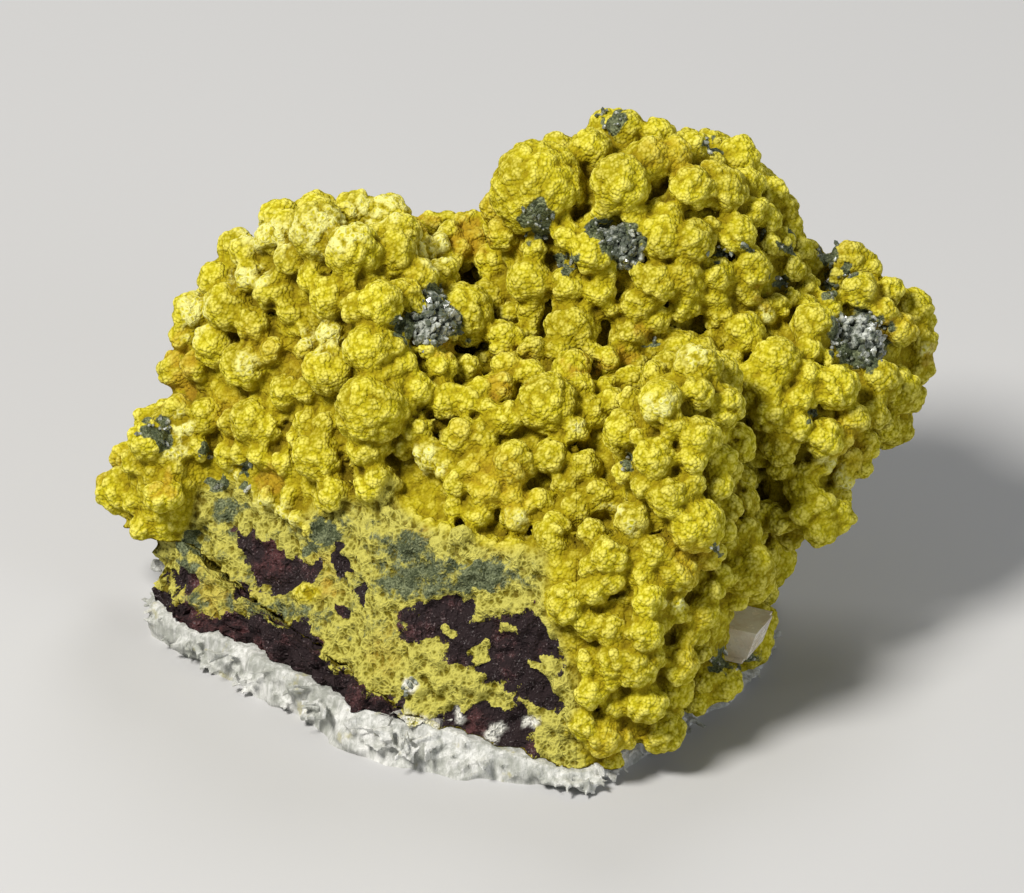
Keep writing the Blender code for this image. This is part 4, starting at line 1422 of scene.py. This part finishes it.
@dataclass
class Crust:
    """The botryoidal crust, fused from the stone's mass and its lumps, with nodules raised on them."""

    stone: Stone
    lumps: Lumps
    layers: Layers
    marks: CrustMarks = CrustMarks()
    break_marks: BreakMarks = BreakMarks()
    voxel: float = 0.18
    quick_voxel: float = 0.26
    lump_subdivisions: int = 3
    lump_share: float = 1.17
    recess: float = 0.4
    lobe_size: float = 1.5
    lobe_height: float = 0.14
    nodule_size: float = 0.72
    nodule_height: float = 0.20
    nodule_level: float = 0.45
    nodule_drift: float = 0.3
    nodule_drift_size: float = 1.2
    coarse_size: float = 2.6
    coarse_height: float = 0.6
    middle_size: float = 1.0
    middle_height: float = 0.42
    pit_size: float = 0.62
    pit_depth: float = 0.30
    pit_drift: float = 0.25
    pit_drift_size: float = 1.1
    oxide_depth: float = 0.25
    hole_depth: float = 0.4
    hole_level: float = 0.2
    warp_pixels: float = 11.0
    warp_sizes: tuple[float, float] = (1.3, 0.5)
    warp_fine_share: float = 0.6
    grey_strength: float = 0.9
    stain_size: float = 5.5
    stain_edge: tuple[float, float] = (0.3, 0.6)
    stain_strength: float = 0.5
    rise_range: float = 0.22
    depth_range: float = 1.3
    hole_shade: float = 0.3
    recess_edge: tuple[float, float] = (-2.2, -0.8)
    flat_start: tuple[float, float] = (-1.3, -0.7)
    flat_end: tuple[float, float] = (0.35, 0.8)
    grey_soft: float = 12.0
    rounds: int = 6
    quick_rounds: int = 3
    dividers: tuple[float, float, float] = (-8.5, 0.5, 3.6)
    mend_reach: float = 0.6
    cut_width: float = 0.002
    cut_slope: float = 0.9999
    mark_names: tuple[str, ...] = (
        "rise", "depth", "broken", "oxide", "quartz", "rust", "white", "rubbed",
    )

    def skin_object(self, body: bpy.types.Object, lumps: list[Lump]) -> bpy.types.Object:
        """Fuses the mass and the lumps into one closed skin.

        Args:
            body: the stone's mass.
            lumps: the lumps.

        Returns:
            The skin, in the scratch collection.
        """
        chance = random.Random(SEED + 1)
        core = Skin(body)
        grown = 1 - step_up(self.stone.break_depths(core.points), *self.recess_edge)
        core.points = core.points - core.normals * (self.recess * grown)[:, None]
        core.store()
        spread = self.lumps.unevenness
        half_axes = [
            [self.lump_share * lump.radius * MM * (1 + chance.uniform(-spread, spread)) for _ in range(3)]
            for lump in lumps
        ]
        balls = ball_arrays(
            self.lump_subdivisions,
            np.array([lump.centre[:] for lump in lumps], dtype=np.float32),
            np.array(half_axes, dtype=np.float32),
        )
        made = object_from_arrays("crust", [arrays_of(body), balls])
        fuse(made, self.voxel)
        return made

    def marks_at(self, points: np.ndarray, view: np.ndarray, broken: np.ndarray) -> dict[str, np.ndarray]:
        """The markings that were read from the photograph.

        Args:
            points: (n, 3) positions in millimetres.
            view: 1 where a point is seen.
            broken: 1 on the broken side.

        Returns:
            Each marking's values, by name.
        """
        broad, fine = self.warp_sizes
        drift = [
            noise_at(points, broad, offset) + self.warp_fine_share * noise_at(points, fine, offset)
            for offset in (0.0, 40.0)
        ]
        pixels = SIGHT.pixels(points) + self.warp_pixels * np.stack(drift, axis=1)
        seen, grown = self.break_marks, self.marks
        oxide = np.maximum(inside(pixels, seen.dark_bed), within_spots(pixels, seen.oxide_spots))
        for patch in seen.oxide_patches:
            oxide = np.maximum(oxide, inside(pixels, patch))
        quartz = within_spots(pixels, seen.grey_spots) * self.grey_strength
        for area, weight in seen.grey_areas:
            quartz = np.maximum(quartz, weight * inside(pixels, area, self.grey_soft))
        rust = np.maximum(
            within_spots(pixels, seen.rust_spots) * broken, within_spots(pixels, grown.rust_spots) * view
        )
        stain = step_up(noise_at(points, self.stain_size, offset=90.0), *self.stain_edge)
        return {
            "oxide": oxide * (1 - within_spots(pixels, seen.pale_islands)),
            "quartz": np.maximum(quartz * broken, within_spots(pixels, grown.quartz_spots) * view),
            "rust": np.maximum(rust, stain * self.stain_strength),
            "white": within_spots(pixels, seen.white_spots) * broken,
            "rubbed": within_spots(pixels, grown.rubbed_spots) * view,
            "hole": within_spots(pixels, grown.holes) * view,
        }

    def shape_and_mark(self, made: bpy.types.Object, side: Side) -> None:
        """Roughens the broken side, raises the nodules and stores the markings.

        Args:
            made: the crust's skin, or the bed.
            side: above the layers for the crust and below them for the bed.
        """
        skin = Skin(made)
        normals = skin.normals
        points = skin.points
        view = SIGHT.shows(points, normals)
        reach = self.stone.break_depths(points)
        flat = step_up(reach, *self.flat_start) * (1 - step_up(reach, *self.flat_end))
        pixels = SIGHT.pixels(points)
        broken = inside(pixels, self.break_marks.area) * flat * view
        broken *= 1 - within_spots(pixels, (self.break_marks.yellow_vug,))
        if side is Side.BELOW:
            broken = np.ones_like(broken)
        marks = self.marks_at(points, view, broken)
        marks["oxide"] *= broken
        if side is Side.BELOW:
            marks["oxide"] = 1 - (1 - marks["oxide"]) * view
        relief = self.coarse_height * noise_at(points, self.coarse_size, offset=11.0)
        relief += self.middle_height * noise_at(points, self.middle_size, offset=23.0)
        drift = self.pit_drift * noise_at(points, self.pit_drift_size, offset=31.0)[:, None]
        relief = relief - self.pit_depth * domes_at(points + drift, self.pit_size, offset=5.0)
        relief = relief - self.oxide_depth * marks["oxide"]
        drift = self.nodule_drift * np.stack(
            [noise_at(points, self.nodule_drift_size, offset) for offset in (60.0, 61.0, 62.0)], axis=1
        )
        lobes = domes_at(points + 2 * drift, self.lobe_size, offset=50.0) - self.nodule_level
        nodules = self.lobe_height * lobes
        nodules += self.nodule_height * (domes_at(points + drift, self.nodule_size) - self.nodule_level)
        skin.points = points + normals * (relief * broken + nodules * (1 - broken))[:, None]
        skin.store()
        rounds = self.rounds
        holes = marks.pop("hole") * (
            1 - step_up(skin.height(8 * rounds), -self.hole_level, self.hole_level)
        )
        skin.points = skin.points + np.outer(holes * self.hole_depth, np.array(SIGHT.forward))
        skin.store()
        # The rise and depth marks drive painted light in the finishes: highlights on raised places and
        # shade in seams, crevices and hollows. In the holes, depth is lowered further as painted shade.
        skin.mark("rise", 0.5 + skin.height(rounds) / self.rise_range)
        skin.mark("depth", 0.5 + skin.height(14 * rounds) / self.depth_range - self.hole_shade * holes)
        skin.mark("broken", broken)
        for name, values in marks.items():
            skin.mark(name, values)

    def make(self, body: bpy.types.Object, tree: BVHTree, finish: bpy.types.Material) -> None:
        """Builds the crust and shows it in place of its solid, in a few pieces so that each stays light.

        Args:
            body: the stone's mass.
            tree: the same mass, for lines of sight.
            finish: the crust's material.
        """
        lumps = self.lumps.make(body, self.stone, tree)
        LOG.info("%d lumps", len(lumps))
        made = self.skin_object(body, lumps)
        LOG.info("skin: %d faces", len(made.data.polygons))
        self.shape_and_mark(made, Side.ABOVE)
        trim(made, self.layers.cutter("above bed", self.layers.crust_floor, Side.ABOVE), "INTERSECT")
        whole = Skin(made)
        far = self.layers.far
        left, middle, right = self.dividers
        parts = {
            "crust_left_end": ((-far, -far, -far), (left, far, far)),
            "crust_left_mound": ((left, middle, -far), (right, far, far)),
            "crust_broken_side": ((left, -far, -far), (right, middle, far)),
            "crust_near_ridge": ((right, -far, -far), (far, middle, far)),
            "crust_peak_and_shelf": ((right, middle, -far), (far, far, far)),
        }
        for name, (low, high) in parts.items():
            piece = linked(name, made.data.copy())
            trim(piece, box(low, high), "INTERSECT")
            self.flatten_cuts(piece)
            self.mend_marks(piece, whole)
            show(piece, finish, "gartrellite", "gartrellite_crust")
        bpy.data.objects.remove(made, do_unlink=True)

    @property
    def cuts(self) -> tuple[tuple[int, float], ...]:
        """The axis and the place of each plane that divides the crust."""
        left, middle, right = self.dividers
        return (0, left), (1, middle), (0, right)

    def by_a_cut(self, points: np.ndarray, reach: float) -> np.ndarray:
        """Which points lie within a reach of the planes that divide the crust."""
        return np.any([np.abs(points[:, axis] - place) < reach for axis, place in self.cuts], axis=0)

    def mend_marks(self, piece: bpy.types.Object, whole: Skin) -> None:
        """Gives the new vertices along the cuts the markings of the nearest old ones.

        Args:
            piece: a piece of the crust.
            whole: the crust before it was divided.
        """
        sources = np.flatnonzero(self.by_a_cut(whole.points, self.mend_reach)).tolist()
        tree = KDTree(len(sources))
        for index in sources:
            tree.insert(whole.points[index], index)
        tree.balance()
        part = Skin(piece)
        new = np.flatnonzero(self.by_a_cut(part.points, self.cut_width)).tolist()
        nearest = [tree.find(part.points[index])[1] for index in new]
        for name in self.mark_names:
            old = read(whole.mesh.attributes[name].data, "value", 1)[:, 0]
            layer = piece.data.attributes[name].data
            for index, source in zip(new, nearest):
                layer[index].value = old[source]

    def flatten_cuts(self, piece: bpy.types.Object) -> None:
        """Shades the flat cut sides of a piece flat and the rest of it smooth.

        Args:
            piece: a piece of the crust.
        """
        faces = piece.data.polygons
        centres, slopes = read(faces, "center") / MM, np.abs(read(faces, "normal"))
        flat = [
            (slopes[:, axis] > self.cut_slope) & (np.abs(centres[:, axis] - place) < 0.5 * self.cut_width)
            for axis, place in self.cuts
        ]
        faces.foreach_set("use_smooth", ~np.any(flat, axis=0))


@dataclass
class Foot:
    """The bed and the slab, cut from the foot of the block."""

    stone: Stone
    layers: Layers
    voxel: float = 0.24
    height: float = 7.5
    rough_wavelengths: tuple[float, ...] = (2.2, 5.0)
    rough_height: float = 0.7
    rough_reach: float = 0.25
    crumb_wavelengths: tuple[float, ...] = (0.55, 1.1)
    crumb_height: float = 0.22
    outmost: float = 0.35
    blades: int = 420
    blade_lengths: tuple[float, float] = (0.8, 2.4)
    blade_widths: tuple[float, float] = (0.14, 0.4)
    blade_tapers: tuple[float, float] = (0.3, 0.9)
    blade_outward: tuple[float, float] = (0.2, 0.9)
    blade_tilt: float = 0.25
    blade_shift: float = 0.5
    blade_least_height: float = 0.35
    blade_least_top: float = 0.5
    blade_below_top: float = 0.1
    blade_thickness: float = 0.4
    floor_clearance: float = 0.02
    slab_fineness: float = 0.75
    kept_share: float = 0.6

    def rock(self, name: str) -> bpy.types.Object:
        """The foot of the block with a rough, crumbly side.

        Args:
            name: the object's name.

        Returns:
            The rock, in the scratch collection.
        """
        shape = bmesh.new()
        self.stone.block(shape)
        rock = object_from(shape, name)
        far = self.layers.far
        trim(rock, box((-far, -far, -far), (far, far, self.height)), "INTERSECT", "EXACT")
        fuse(rock, self.voxel)
        skin = Skin(rock)
        points = skin.points
        rough = sum(noise_at(points, size) for size in self.rough_wavelengths)
        crumbs = sum(noise_at(points, size, offset=17.0) for size in self.crumb_wavelengths)
        rough = self.rough_reach + self.rough_height * rough + self.crumb_height * crumbs
        away = points * np.array((1.0, 1.0, 0.0))
        away /= np.linalg.norm(away, axis=1)[:, None]
        skin.points = points + away * rough[:, None]
        limit = self.outmost + 0.5 * rough
        for origin, normal in self.stone.break_planes():
            over = (skin.points - np.array(origin) / MM) @ np.array(normal) - limit
            over = np.clip(over, 0.0, None) * (points[:, 2] > self.layers.slab_top_left)
            skin.points = skin.points - over[:, None] * np.array(normal) * np.array((1.0, 1.0, 0.0))
        skin.store()
        return rock

    def make_bed(self, crust: Crust, finish: bpy.types.Material) -> None:
        """Builds the dark bed and shows it in place of its solid.

        Args:
            crust: gives the bed the markings of the broken side.
            finish: its material.
        """
        bed = self.rock("oxide_bed")
        trim(bed, self.layers.cutter("above slab", self.layers.bed_floor, Side.ABOVE), "INTERSECT")
        trim(bed, self.layers.cutter("below bed top", self.layers.bed_top, Side.BELOW), "INTERSECT")
        crust.shape_and_mark(bed, Side.BELOW)
        show(bed, finish, "iron_oxide", "iron_oxide_layer")

    def blade(self, shape: bmesh.types.BMesh, chance: random.Random) -> None:
        """Adds one white blade that sticks out of the slab's edge.

        Args:
            shape: the bmesh that it is added to.
            chance: the source of random numbers.
        """
        outline = self.stone.foot
        index = chance.randrange(len(outline))
        (ax, ay), (bx, by) = outline[index], outline[(index + 1) % len(outline)]
        share = chance.random()
        x, y = ax + (bx - ax) * share, ay + (by - ay) * share
        length, width = chance.uniform(*self.blade_lengths), chance.uniform(*self.blade_widths)
        along = Vector((bx - ax, by - ay, 0)).normalized()
        outward = Vector((along.y, -along.x, 0))
        way = (outward * chance.uniform(*self.blade_outward) + along * chance.uniform(-1, 1)).normalized()
        way.z = chance.uniform(-self.blade_tilt, self.blade_tilt)
        centre = Vector((x, y, 0)) + outward * chance.uniform(-self.blade_shift, self.blade_shift)
        top = max(self.blade_least_top, self.layers.slab_top(x, y) - self.blade_below_top)
        centre.z = chance.uniform(self.blade_least_height, top)
        turn = way.to_track_quat("X", "Z") @ Quaternion((1, 0, 0), chance.uniform(0, math.pi))
        thick = self.blade_thickness
        corners = []
        for end in (-1, 1):
            taper = chance.uniform(*self.blade_tapers)
            for side, up in ((-1, -thick), (1, -thick), (1, thick), (-1, thick)):
                corner = Vector((end * 0.5 * length, side * width * taper, up * width * taper))
                corners.append(tuple(centre + turn @ corner))
        add_hull(shape, [(cx, cy, max(cz, self.floor_clearance)) for cx, cy, cz in corners])

    def make_slab(self, finish: bpy.types.Material) -> None:
        """Builds the white slab with its torn, bladed edge, and shows it in place of its solid.

        Args:
            finish: its material.
        """
        chance = random.Random(SEED + 2)
        slab = self.rock("white_slab")
        trim(slab, self.layers.cutter("below slab top", self.layers.slab_top, Side.BELOW), "INTERSECT")
        shape = bmesh.new()
        for _ in range(self.blades):
            self.blade(shape, chance)
        blades = object_from(shape, "blades")
        joined = object_from_arrays("white_slab", [arrays_of(slab), arrays_of(blades)])
        for used in (slab, blades):
            bpy.data.objects.remove(used, do_unlink=True)
        fuse(joined, self.slab_fineness * self.voxel)
        far = self.layers.far
        trim(joined, box((-far, -far, 0.0), (far, far, far)), "INTERSECT")
        modify(joined, "DECIMATE", ratio=self.kept_share)
        joined.name = "white_slab"
        show(joined, finish, "white_matrix", "white_matrix")


@dataclass
class CleavageCrystal:
    """The pale cleavage crystal low on the right, with a smaller step grown on it."""

    centre: Point = (12.9, -6.3, 4.5)
    size: Point = (3.4, 3.0, 2.2)
    lean: tuple[float, float] = (0.3, 0.15)
    turn: float = math.radians(-24)
    worn_edge: float = 0.07
    main_share: float = 0.96
    step_offset: Point = (0.5, -0.35, 0.25)
    step_share: float = 0.8

    def block(self, offset: Point, share: float, name: str) -> bpy.types.Object:
        """One leaning six-faced block.

        Args:
            offset: how far it is from the crystal's centre, along the crystal's own edges.
            share: its size as a share of the crystal's.
            name: the object's name.

        Returns:
            The block, in the scratch collection.
        """
        size = Matrix.Diagonal((*(Vector(self.size) * share * MM), 1.0))
        lean = Matrix.Identity(4)
        lean[0][2], lean[1][2] = self.lean
        place = Matrix.Translation(Vector(self.centre) * MM) @ Matrix.Rotation(self.turn, 4, "Z")
        shape = bmesh.new()
        moved = Matrix.Translation(Vector(offset) * MM)
        bmesh.ops.create_cube(shape, size=1.0, matrix=place @ lean @ moved @ size)
        return object_from(shape, name)

    def make(self, finish: bpy.types.Material) -> None:
        """Builds the crystal and shows it in place of its solid.

        Args:
            finish: its material.
        """
        crystal = self.block((0.0, 0.0, 0.0), self.main_share, "cream_crystal")
        trim(crystal, self.block(self.step_offset, self.step_share, "step"), "UNION", "EXACT")
        modify(crystal, "BEVEL", width=self.worn_edge * MM, segments=2)
        show(crystal, finish, "calcite", "calcite_crystal")


@dataclass
class Quartz:
    """The three patches of quartz druse and the specks of quartz between the lumps."""

    patches: dict[str, Patch] = field(
        default_factory=lambda: {
            "left": Patch((432, 322), 2.1, 1.7, math.radians(25)),
            "top": Patch((622, 246), 1.7, 1.2, math.radians(-40)),
            "right": Patch((858, 340), 1.9, 1.8, math.radians(-50)),
        }
    )
    marks: CrustMarks = CrustMarks()
    break_marks: BreakMarks = BreakMarks()
    rise: float = 0.75
    probe_pixels: int = 12
    points_per_patch: int = 150
    point_radii: tuple[float, float] = (0.10, 0.26)
    point_height: float = 2.6
    point_lean: float = math.radians(34)
    point_spin: float = 6.3
    root_share: float = 0.6
    shoulder_share: float = 0.55
    tip_offset: float = 0.15
    patch_fill: float = 0.88
    patch_waves: float = 0.2
    dome_fall: float = 0.8
    dome_unevenness: float = 0.25
    speck_radii: tuple[float, float] = (0.06, 0.16)
    specks_per_pixel_area: float = 0.055

    def point(self, shape: bmesh.types.BMesh, place: Matrix, radius: float) -> None:
        """Adds a six-sided quartz point to a bmesh.

        Args:
            shape: the bmesh.
            place: where its foot stands, with +Z along it.
            radius: its radius.
        """
        height = self.point_height * radius
        corners = []
        for side in range(6):
            angle = math.radians(60 * side)
            x, y = radius * math.cos(angle), radius * math.sin(angle)
            corners += [(x, y, -self.root_share * height), (x, y, self.shoulder_share * height)]
        corners.append((self.tip_offset * radius, 0.0, height))
        turned = [place @ (Vector(corner) * MM) for corner in corners]
        add_hull(shape, [tuple(corner / MM) for corner in turned])

    def scattered(self, place: Matrix, chance: random.Random) -> Matrix:
        """The place turned and leant at random."""
        lean = [chance.uniform(-self.point_lean, self.point_lean) for _ in "XY"]
        return place @ Euler(lean + [chance.uniform(0, self.point_spin)]).to_matrix().to_4x4()

    def patch_place(self, tree: BVHTree, patch: Patch) -> Matrix:
        """The frame of a druse patch, with +Z out of the surface.

        Args:
            tree: the stone's mass.
            patch: the patch.

        Returns:
            Its place, in metres.
        """
        point, _ = place_on(tree, patch.pixel)
        x, y = patch.pixel
        offsets = (-self.probe_pixels, 0, self.probe_pixels)
        around = [(x + across, y + down) for across in offsets for down in offsets]
        normal = sum((place_on(tree, pixel)[1] for pixel in around), Vector()).normalized()
        return standing(point + normal * (self.rise * MM), normal) @ Matrix.Rotation(patch.turn, 4, "Z")

    def make_patch(self, name: str, patch: Patch, tree: BVHTree, finish: bpy.types.Material) -> None:
        """Builds one patch of druse and shows it in place of its solid.

        Args:
            name: left, top or right.
            patch: where and how large it is.
            tree: the stone's mass.
            finish: its material.
        """
        chance = random.Random(name)
        place = self.patch_place(tree, patch)
        shape = bmesh.new()
        for _ in range(self.points_per_patch):
            out, angle = math.sqrt(chance.random()), chance.uniform(0, 2 * math.pi)
            uneven = self.patch_fill + self.patch_waves * math.sin(3 * angle + len(name)) * out
            x = out * uneven * patch.half_width * math.cos(angle)
            y = out * uneven * patch.half_height * math.sin(angle)
            dome = -self.dome_fall * out * out
            dome += chance.uniform(-self.dome_unevenness, self.dome_unevenness)
            foot = Matrix.Translation(Vector((x, y, dome)) * MM)
            turned = self.scattered(place @ foot, chance)
            self.point(shape, turned, chance.uniform(*self.point_radii))
        show(object_from(shape, f"druse_{name}"), finish, "quartz", f"quartz_druse_{name}")

    def make_specks(self, crust: BVHTree, finish: bpy.types.Material) -> None:
        """Scatters specks of quartz where the photograph shows grey, sparkling places.

        Args:
            crust: the finished crust.
            finish: their material.
        """
        chance = random.Random(SEED + 3)
        shape = bmesh.new()
        for spot in self.marks.quartz_spots + self.break_marks.quartz_spots:
            for _ in range(round(spot.half_width * spot.half_height * self.specks_per_pixel_area)):
                out, angle = math.sqrt(chance.random()), chance.uniform(0, 2 * math.pi)
                pixel = (
                    spot.x + out * spot.half_width * math.cos(angle),
                    spot.y + out * spot.half_height * math.sin(angle),
                )
                point, normal, _, _ = crust.ray_cast(SIGHT.start(pixel), SIGHT.forward)
                if point is None:
                    continue
                place = self.scattered(standing(point, normal), chance)
                self.point(shape, place, chance.uniform(*self.speck_radii))
        show(object_from(shape, "quartz_specks"), finish, "quartz")


@dataclass
class Studio:
    """The floor, the soft lights and the camera at the photograph's angle.

    The floor's radius, the lights with their aim and the camera's clip are in metres.
    """

    image: Pixel = (1024, 893)
    distance: float = 1500.0
    sensor: float = 36.0
    floor_radius: float = 4.0
    floor_sides: int = 96
    lights: dict[str, tuple[Point, float, float, Colour]] = field(
        default_factory=lambda: {
            "key": ((-0.26, -0.20, 0.46), 0.16, 4.1, (1.0, 0.97, 0.92, 1.0)),
            "fill": ((0.42, -0.34, 0.22), 0.26, 0.7, (0.93, 0.96, 1.0, 1.0)),
            "back": ((0.10, 0.40, 0.40), 0.24, 0.8, (1.0, 1.0, 1.0, 1.0)),
        }
    )
    aim: Point = (0, 0, 0.012)
    clip: tuple[float, float] = (0.01, 20.0)
    sky: Colour = (0.80, 0.83, 0.88, 1.0)
    sky_strength: float = 0.16

    def make_floor(self, finish: bpy.types.Material) -> None:
        """Lays the floor, which isn't part of the specimen.

        Args:
            finish: its material.
        """
        shape = bmesh.new()
        bmesh.ops.create_circle(shape, cap_ends=True, segments=self.floor_sides, radius=self.floor_radius)
        floor = object_from(shape, "floor")
        bring_out(floor)
        floor.data.materials.append(finish)

    def make_lights(self) -> None:
        """Hangs the softboxes and sets the even light of the room."""
        for name, (place, size, power, colour) in self.lights.items():
            data = bpy.data.lights.new(name, "AREA")
            data.shape = "DISK"
            data.size = size
            data.energy = power
            data.color = colour[:3]
            lamp = bpy.data.objects.new(name, data)
            lamp.location = place
            aim = Vector(self.aim) - Vector(place)
            lamp.rotation_euler = aim.to_track_quat("-Z", "Y").to_euler()
            bpy.context.scene.collection.objects.link(lamp)
        world = bpy.data.worlds.new("studio")
        world.use_nodes = True
        background = world.node_tree.nodes["Background"]
        background.inputs["Color"].default_value = self.sky
        background.inputs["Strength"].default_value = self.sky_strength
        bpy.context.scene.world = world

    def make_camera(self) -> None:
        """Sets the camera far back on the photograph's line of sight, with a long lens."""
        width = self.image[0] * SIGHT.mm_per_pixel
        data = bpy.data.cameras.new("camera")
        data.sensor_width = self.sensor
        data.lens = self.sensor * self.distance / width
        data.clip_start, data.clip_end = self.clip
        camera = bpy.data.objects.new("camera", data)
        across = (0.5 * self.image[0] - SIGHT.centre[0]) * SIGHT.mm_per_pixel
        rise = (SIGHT.centre[1] - 0.5 * self.image[1]) * SIGHT.mm_per_pixel + SIGHT.rise
        middle = Vector((across, 0, 0)) + SIGHT.up * rise
        camera.location = (middle - SIGHT.forward * self.distance) * MM
        camera.rotation_euler = SIGHT.forward.to_track_quat("-Z", "Y").to_euler()
        bpy.context.scene.collection.objects.link(camera)
        bpy.context.scene.camera = camera
        bpy.context.scene.view_settings.view_transform = "Standard"


def crust_tree() -> BVHTree:
    """The finished crust's pieces as one surface, for lines of sight."""
    pieces = [made for made in bpy.data.objects if made.name.startswith("crust_")]
    points, triangles = stacked([arrays_of(piece) for piece in pieces])
    return BVHTree.FromPolygons(points.tolist(), triangles.tolist())


def write_sizes() -> None:
    """Brings the view layer up to date."""
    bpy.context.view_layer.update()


def main() -> None:
    """Builds the specimen."""
    logging.basicConfig(level=logging.INFO, format="%(message)s")
    stone = Stone()
    layers = Layers()
    body = stone.make()
    tree = BVHTree.FromObject(body, bpy.context.evaluated_depsgraph_get())
    crust = Crust(stone, Lumps(), layers)
    crust.make(body, tree, CrustFinish().make())
    foot = Foot(stone, layers)
    foot.make_bed(crust, CrustFinish("iron_oxide").make())
    foot.make_slab(MatrixFinish().make())
    CleavageCrystal().make(CrystalFinish().make())
    quartz = Quartz()
    finish = QuartzFinish().make()
    for name, patch in quartz.patches.items():
        quartz.make_patch(name, patch, tree, finish)
    quartz.make_specks(crust_tree(), finish)
    studio = Studio()
    studio.make_floor(FloorFinish().make())
    studio.make_lights()
    studio.make_camera()
    for helper in list(scratch_collection().objects):
        bpy.data.objects.remove(helper, do_unlink=True)
    write_sizes()


if __name__ == "__main__":
    main()
